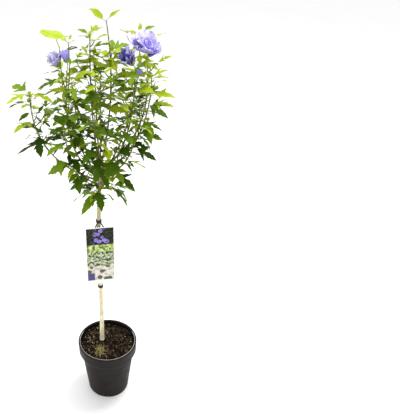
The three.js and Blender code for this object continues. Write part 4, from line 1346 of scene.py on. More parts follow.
class Wood(Enum):
    """The bark of the trunk, boughs, twigs and leaf stalks, and the green of the calyx."""

    # Its upper colour, a darker olive, is partly painted shade under the crown and partly greener bark.
    TRUNK = BarkFinish(
        "bark_trunk", (0.72, 0.65, 0.42), 0.75, 0.12, (0.3, 0.27, 0.17), (0.96, 0.9, 0.68), 620.0, 0.0006,
        (0.34, 0.3, 0.12),
    )
    BOUGH = BarkFinish(
        "bark_bough", (0.25, 0.21, 0.12), 0.78, 0.25, (0.09, 0.07, 0.035), (0.4, 0.37, 0.24), 900.0, 0.0004
    )
    TWIG = BarkFinish(
        "bark_twig", (0.15, 0.17, 0.028), 0.7, 0.15, (0.07, 0.07, 0.014), (0.26, 0.28, 0.06), 1400.0, 0.0002
    )
    STALK = BarkFinish(
        "leaf_stalk", (0.19, 0.29, 0.015), 0.6, 0.15, (0.13, 0.12, 0.015), (0.32, 0.42, 0.04), 1600.0, 0.0001
    )
    CALYX = BarkFinish("calyx", (0.15, 0.28, 0.04), 0.6, 0.3, (0.08, 0.17, 0.02), (0.3, 0.42, 0.1), 1100.0, 0.0002)


class Ground(Enum):
    """The growing mix: its peat, chips, fibres and moss."""

    PEAT = MottledFinish(
        "peat", (0.0035, 0.0022, 0.0015), 0.95, 0.04, (0.013, 0.0075, 0.0045), 90.0, 0.8, 1100.0, 0.0012
    )
    CHIP = MottledFinish(
        "bark_chip", (0.022, 0.014, 0.011), 0.85, 0.1, (0.1, 0.068, 0.056), 240.0, 0.8, 1500.0, 0.0005
    )
    PALE_CHIP = MottledFinish(
        "pale_chip", (0.42, 0.34, 0.2), 0.85, 0.1, (0.14, 0.1, 0.05), 260.0, 0.7, 1500.0, 0.0005
    )
    FIBRE = MottledFinish("root_fibre", (0.26, 0.19, 0.09), 0.8, 0.1, (0.12, 0.085, 0.04), 300.0, 0.7, 1500.0)
    MOSS = MottledFinish("moss", (0.3, 0.27, 0.07), 0.9, 0.1, (0.12, 0.1, 0.03), 320.0, 0.8, 1800.0, 0.0008, 0.1)
    STRAW = MottledFinish("straw", (0.34, 0.3, 0.09), 0.8, 0.1, (0.34, 0.28, 0.12), 300.0, 0.6, 1500.0)


class Made(Enum):
    """The pot's plastic, the card's print and stock, the ties' rubber and the studio's floor."""

    POT = MottledFinish(
        "pot_plastic", (0.012, 0.0098, 0.0085), 0.5, 0.07, (0.023, 0.0195, 0.017), 34.0, 0.6, 1300.0, 0.00012
    )
    # A painted highlight: pale grey standing for light glinting on the pot's inner lip.
    WORN = MottledFinish("pot_worn", (0.34, 0.33, 0.31), 0.4, 0.4, (0.16, 0.155, 0.15), 150.0, 0.6, 1500.0, 0.0001)
    STOCK = MottledFinish("card_stock", (0.86, 0.87, 0.83), 0.4, 0.45, (0.74, 0.74, 0.7), 45.0, 0.35, 1500.0, 0.00005)
    PRINT = PrintFinish("card_print", (0.86, 0.87, 0.83), 0.35, 0.2)
    STRAP = MottledFinish("strap_rubber", (0.014, 0.014, 0.016), 0.45, 0.4, (0.045, 0.045, 0.048), 120.0, 0.5, 1600.0)
    FLOOR = MottledFinish("studio_floor", (0.9, 0.9, 0.9), 0.9, 0.1, (0.88, 0.88, 0.88), 3.0, 0.5, 400.0, 0.00002)


Finishes = Union[LeafTint, PetalTint, Wood, Ground, Made]


class Cupboard:
    """Hands out each finish as a material, built once."""

    held: dict[Enum, Material] = {}

    @classmethod
    def take(cls, finish: Finishes) -> Material:
        """The material of a finish."""
        if finish not in cls.held:
            cls.held[finish] = finish.value.build()
        return cls.held[finish]


# ---- leaves, twigs and blossom


@dataclass(frozen=True)
class Blade:
    """A leaf blade: its outline as shares along and across, and where it is cut to bend."""

    outline: Pairs
    cuts_across: tuple[float, ...] = (0.13,)
    cuts_along: tuple[float, ...] = (0.2, 0.42, 0.62, 0.82)

    def build(self) -> Shape:
        """The flat blade, one unit long, upper side up."""
        bm = bmesh.new()
        rim = [bm.verts.new((out, along, 0)) for along, out in self.outline]
        bm.faces.new([bm.verts.new((0, 0, 0))] + rim)
        for x in self.cuts_across:
            self._cut(bm, (x, 0, 0), (1, 0, 0))
        for y in self.cuts_along:
            self._cut(bm, (0, y, 0), (0, 1, 0))
        bmesh.ops.mirror(bm, geom=bm.verts[:] + bm.edges[:] + bm.faces[:], merge_dist=1e-5, axis="X")
        bmesh.ops.remove_doubles(bm, verts=bm.verts[:], dist=1e-5)
        face_out(bm)
        if sum(face.normal.z for face in bm.faces) < 0:
            bmesh.ops.reverse_faces(bm, faces=bm.faces[:])
        map_faces(bm, lambda at: (at.x + 0.5, at.y))
        return Shape.of(bm)

    @staticmethod
    def _cut(bm: BMesh, place: Sequence[float], normal: Sequence[float]) -> None:
        """Cuts the blade along a line."""
        geometry = bm.verts[:] + bm.edges[:] + bm.faces[:]
        bmesh.ops.bisect_plane(bm, geom=geometry, dist=1e-5, plane_co=place, plane_no=normal)


class BladeForm(Enum):
    """The plant's blades: deeply cut, three-lobed and toothed, broad, and narrow."""

    CUT = Blade((
        (0, 0.012), (0.06, 0.06), (0.14, 0.15), (0.22, 0.19), (0.31, 0.31), (0.38, 0.32), (0.48, 0.45), (0.46, 0.31),
        (0.41, 0.22), (0.38, 0.14), (0.35, 0.085), (0.44, 0.1), (0.53, 0.155), (0.6, 0.165), (0.66, 0.125),
        (0.74, 0.145), (0.8, 0.1), (0.9, 0.05), (1, 0),
    ))
    LOBED = Blade((
        (0, 0.012), (0.08, 0.1), (0.17, 0.17), (0.24, 0.27), (0.31, 0.285), (0.43, 0.43), (0.43, 0.3),
        (0.455, 0.165), (0.53, 0.15), (0.6, 0.2), (0.66, 0.155), (0.73, 0.165), (0.79, 0.1), (0.9, 0.05), (1, 0),
    ))
    BROAD = Blade((
        (0, 0.012), (0.07, 0.13), (0.16, 0.225), (0.26, 0.28), (0.35, 0.32), (0.42, 0.275), (0.51, 0.3),
        (0.57, 0.235), (0.65, 0.24), (0.72, 0.165), (0.79, 0.15), (0.9, 0.06), (1, 0),
    ))
    WIDE = Blade((
        (0, 0.012), (0.06, 0.15), (0.13, 0.28), (0.22, 0.36), (0.32, 0.45), (0.4, 0.43), (0.47, 0.36), (0.56, 0.34),
        (0.66, 0.27), (0.76, 0.2), (0.86, 0.13), (0.94, 0.06), (1, 0),
    ))
    NARROW = Blade((
        (0, 0.01), (0.12, 0.08), (0.26, 0.15), (0.36, 0.16), (0.44, 0.185), (0.53, 0.15), (0.61, 0.155),
        (0.7, 0.105), (0.8, 0.095), (0.91, 0.04), (1, 0),
    ), (0.09,), (0.26, 0.5, 0.75))


@dataclass(frozen=True)
class TintRule:
    """How bright a leaf is: brighter up the crown and further out, as painted light, which leaves the middle of the
    crown darker as painted shade; brighter low down; brighter when young, at the tips; and with some chance.
    """

    plain: float = 0.21
    up: float = 0.54
    up_from: float = 860
    up_over: float = 180
    low: float = 0.25
    low_from: float = 850
    low_over: float = 90
    young: float = 0.25
    outside: float = 0.001
    chance: float = 0.42
    top_from: float = 1035
    top_least: float = 0.6
    limits: tuple[tuple[float, LeafTint], ...] = (
        (0.8, LeafTint.LIME), (0.52, LeafTint.FRESH), (0.3, LeafTint.GREEN), (-inf, LeafTint.DEEP)
    )

    def deal(self, leaf: Leaf, dice: Random) -> LeafTint:
        """The tint of a leaf."""
        x, y, height = leaf.at(0.5, 0)
        # Painted light: leaves higher in the crown are dealt brighter tints.
        bright = self.plain + self.up * clamped((height - self.up_from) / self.up_over)
        bright += self.low * clamped((self.low_from - height) / self.low_over)
        # Young leaves are brighter in their own colour; leaves further out are brighter as painted light.
        bright += self.young * (1 - leaf.age) + self.outside * hypot(x, y)
        bright += dice.uniform(-self.chance, self.chance)
        # Painted light: the leaves at the very top always take one of the two brightest tints.
        if height > self.top_from:
            bright = max(bright, self.top_least)
        return next(tint for limit, tint in self.limits if bright > limit)


@dataclass
class Foliage:
    """One mass as twigs, leaf stalks and leaves."""

    mass: Mass
    shapes: dict[BladeForm, Shape]
    tints: TintRule = TintRule()
    wave: float = 0.035
    curl: float = 0.3
    stoutness: float = 1.25
    node: float = 0.22
    wide_from: float = 72
    narrow_under: float = 36
    middling: float = 46
    stalk_radius: float = 0.6
    stalk_sag: float = 0.06
    stalk_reach: float = 0.07
    stalk_taper: tuple[float, ...] = (1.35, 1.0, 0.9, 0.7)

    def build(self) -> None:
        """Makes the mass's leaves and its twigs."""
        name = self.mass.row.name
        dice = np.random.default_rng(self.mass.row.seed)
        leaves, wood = Batch(), Batch(*(self._twig(limb) for limb in [self.mass.stem] + self.mass.twigs))
        tints = list(LeafTint)
        for leaf in self.mass.leaves:
            tint = self.tints.deal(leaf, dice)
            shape = self.shapes[self._form(leaf, dice)]
            leaves.add(shape, tints.index(tint), self._placed(leaf, shape, dice))
            wood.add(self._stalk(leaf), 1)
        make_piece("leaves_" + name, leaves.mesh(), tints, "foliage", "foliage_" + name)
        make_piece("twigs_" + name, wood.mesh(), (Wood.TWIG, Wood.STALK), "bough")

    def _placed(self, leaf: Leaf, shape: Shape, dice: Random) -> Array:
        """The points of a blade where its leaf is, folded, drooping and waved."""
        u, v = shape.points[:, 0], shape.points[:, 1]
        fold, droop = RULE.fold * dice.uniform(0.5, 1.5), RULE.droop * dice.uniform(0.7, 1.5)
        waves = self.wave * np.sin(v * dice.uniform(9, 13) + dice.uniform(0, 6) + np.sign(u)) * np.abs(u) / 0.3
        hook = -self.curl * dice.uniform(0, 0.5) * np.clip(v - 0.55, 0, 1) ** 2
        lift = fold * np.abs(u) - droop * v * v - self.curl * u * u + waves + hook
        sweep = dice.uniform(-0.07, 0.07) * v * v
        flat = leaf.forward[None] * v[:, None] + leaf.across[None] * (u + sweep)[:, None]
        return leaf.base[None] + leaf.length * (flat + leaf.normal[None] * lift[:, None])

    def _form(self, leaf: Leaf, dice: Random) -> BladeForm:
        """Deals out a blade: short ones are more often narrow or broad, and the longest are wide."""
        chance = dice.uniform()
        if leaf.length > self.wide_from:
            return BladeForm.WIDE
        if chance < (0.5 if leaf.length < self.narrow_under else 0.1):
            return BladeForm.NARROW
        if chance < 0.34 and leaf.length < self.middling:
            return BladeForm.BROAD
        return BladeForm.CUT if chance > 0.45 else BladeForm.LOBED

    def _twig(self, limb: Limb) -> Shape:
        """A twig, a little thicker at its nodes."""
        count = max(6, int(limb.length() / 5))
        _, points, radii = limb.stations(count)
        radii = radii * (1 + self.node * (np.arange(count + 1) % 4 == 2)) * self.stoutness
        radii[-1] *= 0.6
        return round_limb(points, radii, limb.side, 7)

    def _stalk(self, leaf: Leaf) -> Shape:
        """A leaf's stalk, with a slight sag, that runs on under the blade."""
        end = leaf.at(self.stalk_reach, 0) - leaf.normal * self.stalk_radius * 0.8
        middle = (leaf.root + end) / 2 - UP * leaf.length * self.stalk_sag
        curve = Curve(leaf.root, middle, end)
        points = np.array([curve.point(share) for share in (0, 0.33, 0.67, 1)])
        slim = 1.8 if leaf.length > self.wide_from else min(1.0, leaf.length / self.middling)
        return round_limb(points, self.stalk_radius * slim * np.array(self.stalk_taper), leaf.across, 5)


@dataclass(frozen=True)
class PetalRow:
    """A ring of petals: how many, how they lean and flare, their size, width and ruffle."""

    count: int
    lean: float
    flare: float
    share: float
    turn: float
    width: float
    ruffle: float
    tint: int
    faces: int = 9


BLOOM_RINGS = {
    Bloom.OPEN: (
        PetalRow(5, 76, 38, 0.52, 0, 0.94, 0.05, 0, 12),
        PetalRow(5, 58, 40, 0.45, 36, 0.84, 0.07, 0, 11),
        PetalRow(5, 36, 30, 0.34, 8, 0.66, 0.09, 0, 8),
        # The inner rings take the darker heart tint on both faces: painted shade among the inner petals.
        PetalRow(4, 16, 24, 0.27, 40, 0.56, 0.1, 2, 7),
        PetalRow(4, -6, 16, 0.2, 30, 0.4, 0.12, 2, 5),
    ),
    Bloom.HALF: (
        PetalRow(5, 30, 52, 0.55, 0, 0.74, 0.05, 0, 11),
        PetalRow(5, 8, 30, 0.64, 36, 0.58, 0.07, 1, 10),
        PetalRow(4, 0, 20, 0.5, 10, 0.46, 0.12, 1, 8),
        # The innermost ring takes the darker heart tint on both faces: painted shade among the inner petals.
        PetalRow(3, -8, 10, 0.3, 30, 0.4, 0.12, 2, 5),
    ),
}
CALYX_ROWS = (
    PetalRow(5, 8, 60, 1.0, 20, 0.5, 0.0, 3, 6),
    PetalRow(7, 30, 100, 0.95, 0, 0.13, 0.0, 3, 5),
)


ROLL = (
    (0, 0.3, 0), (0.2, 0.52, 0.2), (0.4, 0.84, 0.46), (0.56, 1.0, 0.7), (0.7, 0.94, 0.9), (0.78, 0.8, 1.0),
    (0.84, 0.66, 0.96), (0.92, 0.5, 0.8), (1, 0.3, 0.66),
)
GREEN = 3


@dataclass(frozen=True)
class Dress:
    """A flower's looks: its tints outside, inside and at its heart, its petals' cut, its uneven sides, and the side
    whose petals are painted lit.
    """

    # The heart tint, darker than the inside, is painted shade among the inner petals.
    tints: tuple[PetalTint, PetalTint, PetalTint] = (PetalTint.VIOLET, PetalTint.PALE, PetalTint.VIOLET)
    notch: float = 0.06
    jag: float = 0.012
    uneven: float = 0.0
    long_side: float = 140
    light_side: Optional[float] = None


DRESSES = {
    ("bloom_right", Bloom.OPEN): Dress(uneven=0.34),
    # The half-open violet bloom is painted lit and shaded: its pale outside and its lit-side petals are painted
    # light, and its dark inside and heart are painted shade.
    ("violet_right", Bloom.HALF): Dress(
        (PetalTint.DUSK, PetalTint.DEEP, PetalTint.DEEP), notch=-0.26, jag=0.09, light_side=75.0
    ),
    ("violet_right", Bloom.ROLLED): Dress((PetalTint.FADED, PetalTint.DUSK, PetalTint.DUSK)),
    ("tall_left", Bloom.HALF): Dress((PetalTint.LILAC, PetalTint.PALE, PetalTint.VIOLET)),
}


class Blossom:
    """A flower or bud with its calyx and stalk, as one piece."""

    stalk: Pairs = ((0, 1.3), (0.4, 1.1), (0.8, 1.2), (1, 1.6))
    petal_wall: float = 0.35
    bract_wall: float = 0.3
    cup: float = 0.1
    turn: float = 13
    # How far round from the lit side the petals are painted lit, in degrees.
    light_reach: float = 60

    def __init__(self, flower: Flower, name: str) -> None:
        """Makes a flower.

        Args:
            flower: the flower in its place.
            name: what its piece is called after.
        """
        row = self.row = flower.row
        self.base, self.facing = flower.base, flower.facing
        self.level = unit(np.cross(UP, self.facing))
        self.bud = row.bloom is Bloom.BUD
        self.dress = DRESSES.get((row.on, row.bloom), Dress())
        self.dice = np.random.default_rng(int(row.width * 10 + row.azimuth))
        self.batch = Batch()
        shares, radii = (np.array(column) for column in zip(*self.stalk))
        points = shares[:, None] * (self.base - flower.root) + flower.root
        self.batch.add(round_limb(points, radii, outward(row.azimuth - 90), 8), GREEN)
        self._calyx(row.width * 0.5 if self.bud else min(6.0, row.width * 0.34))
        for ring in BLOOM_RINGS.get(row.bloom, ()):
            self._ring(ring)
        if row.bloom is Bloom.ROLLED:
            self.batch.add(self._rolled(row.width / 2))
        make_piece("blossom_" + name, self.batch.mesh(), (*self.dress.tints, Wood.CALYX), "foliage")

    def _ring(self, ring: PetalRow) -> None:
        """Makes one ring of petals."""
        dress, draw = self.dress, self.dice.uniform
        for i in range(ring.count):
            azimuth = ring.turn + 360 * i / ring.count + draw(-7, 7)
            length = self.row.width * ring.share * draw(0.92, 1.0)
            length *= 1 + dress.uneven * cos(radians(azimuth - dress.long_side))
            lean, flare = ring.lean + draw(-6, 6), ring.flare + draw(-10, 4)
            petal, inside = self._petal(azimuth, length, lean, flare, ring)
            finish = ring.tint or inside.astype(int)
            # Painted light: petals turned towards the lit side take the outside tint on both faces.
            if dress.light_side is not None:
                off = cos(radians(azimuth - dress.light_side))
                if off > cos(radians(self.light_reach)):
                    finish = 0
            self.batch.add(petal, finish)

    def _petal(
        self, azimuth: float, length: float, lean: float, flare: float, ring: PetalRow
    ) -> tuple[Shape, Array]:
        """Makes one petal as a thin closed sheet, and tells which of its faces look inwards."""
        facing, dress = self.facing, self.dress
        away = turned_about(self.level, facing, azimuth)
        across = turned_about(np.cross(away, facing), away, self.turn)
        phase = self.dice.uniform(0, 6)

        def place(u: float, v: float) -> Vector:
            s = 2 * u - 1
            along = 0.03 + 0.97 * v
            half = ring.width / 2 * self._profile(along)
            along *= 1 - 0.1 * s * s * v + dress.notch * (abs(s) ** 0.7 - 1) * v**5 * 0.9
            along += dress.jag * sin(15 * s + phase) * v**6
            ruffle = ring.ruffle * v**2.2 * (sin(4.6 * s + phase) + 0.5 * sin(11 * s - phase + 3 * v))
            chord = radians(lerp(lean, flare, along / 2))
            rise = cos(chord) * along + self.cup * abs(s * half) + ruffle * sin(chord)
            reach = sin(chord) * along - ruffle * cos(chord)
            return Vector(self.base + length * (away * reach + facing * rise + across * (half * s)))

        shape = Shape.of(thicken(sheet(ring.faces, ring.faces, place), self.petal_wall))
        corners = shape.points[shape.faces]
        normals = np.cross(corners[:, 1] - corners[:, 0], corners[:, 2] - corners[:, 0])
        chord = radians(lerp(lean, flare, 0.3))
        return shape, normals @ (facing * sin(chord) - away * cos(chord)) > 0

    @staticmethod
    def _profile(along: float) -> float:
        """How wide a petal is at a share of its length, narrow at its foot and round at its end."""
        rise = 0.12 + 0.88 * sin(min(1.0, along / 0.74) * pi / 2) ** 1.2
        return rise * sqrt(max(0.0, 1 - (max(0.0, along - 0.68) / 0.37) ** 2))

    def _calyx(self, size: float) -> None:
        """Makes the green cup, its five sepals and the thin bracts under them."""
        top = 3.1 if self.bud else 1.1
        upper = ((0.8, 1.1), (0.5, top * 0.72)) if self.bud else ((0.9, 1),)
        profile = [(size * out, size * up) for out, up in ((0, 0), (0.55, 0.12), (0.86, 0.5), *upper, (0, top))]
        self.batch.add(Shape.of(stand(revolve(profile, 15), self.base - self.facing, self.facing)), GREEN)
        for ring in CALYX_ROWS:
            for i in range(ring.count):
                place = self._bract(360 * i / ring.count + ring.turn, size, ring)
                self.batch.add(Shape.of(thicken(sheet(4, ring.faces, place), self.bract_wall)), GREEN)

    def _bract(self, azimuth: float, size: float, ring: PetalRow) -> Surface:
        """The surface of a sepal or bract, close to the cup at its foot."""
        facing = self.facing
        away = turned_about(self.level, facing, azimuth)
        across = np.cross(away, facing)
        reach = size * 1.9 * ring.share
        narrow, spread = ring.width < 0.3, 0.25 if self.bud else 0.42

        def place(u: float, v: float) -> Vector:
            s = 2 * u - 1
            half = reach * ring.width / 2 * sin(pi * (0.14 + 0.86 * v)) ** 0.8
            if narrow:
                out = size * 0.7 + reach * 0.55 * v**1.2
                rise = size * 0.15 + reach * (0.75 * v - 0.3 * v * v)
            else:
                out = size * (0.5 + 0.55 * sin(v * 2.2)) + reach * spread * 0.4 * v * v
                rise = size * 0.2 + reach * 0.95 * v
            fold = 0.18 * half * (1 - s * s)
            return Vector(self.base - facing + away * (out + fold) + facing * rise + across * (half * s))

        return place

    def _rolled(self, radius: float) -> Shape:
        """Makes a rolled bud: petals wound round each other."""
        ahead = np.cross(self.facing, self.level)
        shares, widths, heights = zip(*ROLL)

        def place(u: float, v: float) -> Vector:
            angle = tau * u + 1.1 * v
            wind = (5 * (u + 0.1 * v)) % 1.0
            size = radius * float(np.interp(v, shares, widths)) * (0.84 + 0.2 * wind)
            tall = radius * 2.5 * float(np.interp(v, shares, heights)) * (1 - 0.12 * v * cos(tau * wind))
            around = self.level * cos(angle) + ahead * sin(angle)
            return Vector(self.base + around * size + self.facing * tall)

        return Shape.of(close_ends(sheet(40, 16, place, wrap=True)))


# ---- trunk and boughs


@dataclass
class Trunk:
    """The trunk: pale bark with long grain, pruning scars and a flared foot."""

    rings: int = 330
    sides: int = 40
    relief: float = 0.32
    sunk: float = 1.5
    dome: float = 5
    scars: tuple[Triple, ...] = (
        (236, 250, 1.5), (305, 20, 1.2), (352, 285, 1.7), (433, 170, 1.3), (478, 262, 1.4), (532, 60, 1.2),
        (566, 300, 1.5), (601, 236, 1.6), (644, 275, 1.4), (668, 120, 1.5), (684, 330, 1.3), (716, 240, 1.3),
    )

    def build(self) -> None:
        """Makes the trunk."""
        bm = sheet(self.sides, self.rings, self._place, wrap=True)
        make_piece("trunk_bark", as_mesh(close_ends(bm)), (Wood.TRUNK,), "bark", "trunk")

    def _place(self, u: float, v: float) -> Vector:
        """A point of the bark at shares round and up."""
        height = lerp(TRUNK.soil - self.sunk, TRUNK.top, v)
        angle = 360 * u
        radius = TRUNK.radius(max(TRUNK.soil, height))
        end = (height - (TRUNK.top - self.dome)) / self.dome
        if end > 0:
            radius *= sqrt(max(0.02, 1 - end * end))
        out = outward(angle)
        x, y, _ = out * radius
        grain = rough(x * 0.55, y * 0.55, height * 0.045)
        fine = rough(x * 1.6, y * 1.6, height * 0.2 + 40)
        ring = rough(x * 0.1, y * 0.1, height * 0.4 + 90)
        rise = self.relief * (1.2 * grain + 0.55 * fine + 0.4 * ring)
        for level, azimuth, size in self.scars:
            off = hypot((height - level) / 1.15, radius * radians((angle - azimuth + 180) % 360 - 180))
            rise += 0.75 * size * exp(-((off / (size * 1.5)) ** 2))
            rise -= 0.45 * size * exp(-((off / (size * 0.6)) ** 2))
        return Vector(TRUNK.middle(height) + out * (radius + rise))


@dataclass
class Boughs:
    """The boughs, each from inside the trunk to where its mass of foliage starts."""

    limbs: list[tuple[str, Limb]]
    collar: float = 0.55
    collar_reach: float = 9
    node: float = 0.14
    node_apart: float = 19
    node_reach: float = 1.6

    def build(self) -> None:
        """Makes each bough as its own piece."""
        for name, limb in self.limbs:
            make_piece("bark_" + name, Batch(self._bough(limb)).mesh(), (Wood.BOUGH,), "bough", "bough_" + name)

    def _bough(self, limb: Limb) -> Shape:
        """One bough, with a collar where it leaves the trunk and rings at its nodes."""
        length = limb.length()
        shares, points, radii = limb.stations(max(10, int(length / 2.2)))
        radii = radii * (1 + self.collar * np.exp(-shares * length / self.collar_reach))
        off = (shares * length) % self.node_apart - self.node_apart / 2
        return round_limb(points, radii * (1 + self.node * np.exp(-(off / self.node_reach) ** 2)), limb.side, 14, 0.2)


# ---- pot and soil


@dataclass
class Pot:
    """A round nursery pot: tapering, with a deep collar, a rolled rim and drain holes."""

    height: float = 183
    rim: float = 87.5
    collar_foot: float = 150
    collar_radius: float = 86.2
    shoulder: float = 143
    shoulder_radius: float = 78
    base: float = 61
    chamfer: float = 3
    wall: float = 2
    lip: float = 5
    floor: float = 3
    drains: int = 8
    drain_radius: float = 6
    drain_circle: float = 40
    steps: int = 112
    faint_rings: tuple[float, ...] = (22, 96, 122)
    ring: Pairs = ((-6, 0), (-2, 0), (-1, 0.12), (1, 0.12), (2, 0), (6, 0))
    rim_roll: Pairs = (
        (0.9, 5.6), (0.1, 4.6), (0, 3), (0.1, 1.4), (0.6, 0.4), (1.4, 0), (3, 0.4)
    )
    lip_roll: Pairs = ((-0.8, 0.5), (-0.3, 0.1), (0.4, 0.2), (0.9, 1.1), (1, 4), (-0.6, 5.6))
    # Where the painted highlight lies on the inner lip: how far down from the top, how far out past the lip's inner
    # edge, and how far back.
    worn_depth: float = 1.5
    worn_reach: float = 0.7
    worn_to: float = 34

    def side(self, height: float) -> float:
        """The pot's outer radius at a height under its collar."""
        return lerp(self.base, self.shoulder_radius, height / self.shoulder)

    def build(self) -> None:
        """Makes the pot, with a painted highlight on the inner edge of its lip at the front."""
        bm = self._drilled(revolve(self._profile(), self.steps))
        # Faces at the top of the inner lip, at the front, take the pale finish: a painted highlight.
        for face in bm.faces:
            middle = face.calc_center_median()
            inside = middle.xy.length < self.rim - self.lip + self.worn_reach
            face.material_index = int(middle.z > self.height - self.worn_depth and inside and middle.y < self.worn_to)
        make_piece("pot_shell", as_mesh(bm), (Made.POT, Made.WORN), "pot", "pot")

    def _drilled(self, shell: BMesh) -> BMesh:
        """Cuts the drain holes through the floor."""
        drills = bmesh.new()
        for i in range(self.drains):
            place = outward(360 * i / self.drains) * self.drain_circle
            bmesh.ops.create_cone(
                drills, cap_ends=True, segments=20, radius1=self.drain_radius, radius2=self.drain_radius,
                depth=4 * self.floor, matrix=Matrix.Translation(Vector(place)),
            )
        solid, cutter = (added("drilling", as_mesh(form, 1.0, smooth=False)) for form in (shell, drills))
        cut = solid.modifiers.new("drains", "BOOLEAN")
        cut.object, cut.operation, cut.solver = cutter, "DIFFERENCE", "EXACT"
        drilled = bmesh.new()
        drilled.from_object(solid, bpy.context.evaluated_depsgraph_get())
        bmesh.ops.remove_doubles(drilled, verts=drilled.verts[:], dist=1e-3)
        for item in (solid, cutter):
            bpy.data.objects.remove(item)
        return drilled

    def _profile(self) -> list[Pair]:
        """The wall from the middle of the underside, up the outside and down the inside."""
        base, rim, top, side = self.base, self.rim, self.height, self.side
        shoulder, collar, inner = self.shoulder_radius, self.collar_radius, self.rim - self.lip
        rows = [(0, 0), (base - self.chamfer - 4, 0), (base - self.chamfer, 0), (base - 0.9, 0.7)]
        rows.append((side(self.chamfer), self.chamfer))
        rows += [(side(at + rise) + proud, at + rise) for at in self.faint_rings for rise, proud in self.ring]
        rows += [(shoulder - 0.2, self.shoulder - 1.5), (shoulder + 0.6, self.shoulder)]
        rows += [(collar - 1.4, self.collar_foot - 1.6), (collar - 0.2, self.collar_foot)]
        rows.append((collar + 0.3, self.collar_foot + 1.2))
        rows += [(rim - inward, top - down) for inward, down in self.rim_roll]
        rows += [(inner - inward, top - down) for inward, down in self.lip_roll]
        rows.append((collar - self.wall, top - 7))
        rows += [(collar - self.wall, self.collar_foot + 1), (shoulder - self.wall, self.shoulder)]
        return rows + [(base - self.wall, self.floor), (0, self.floor)]


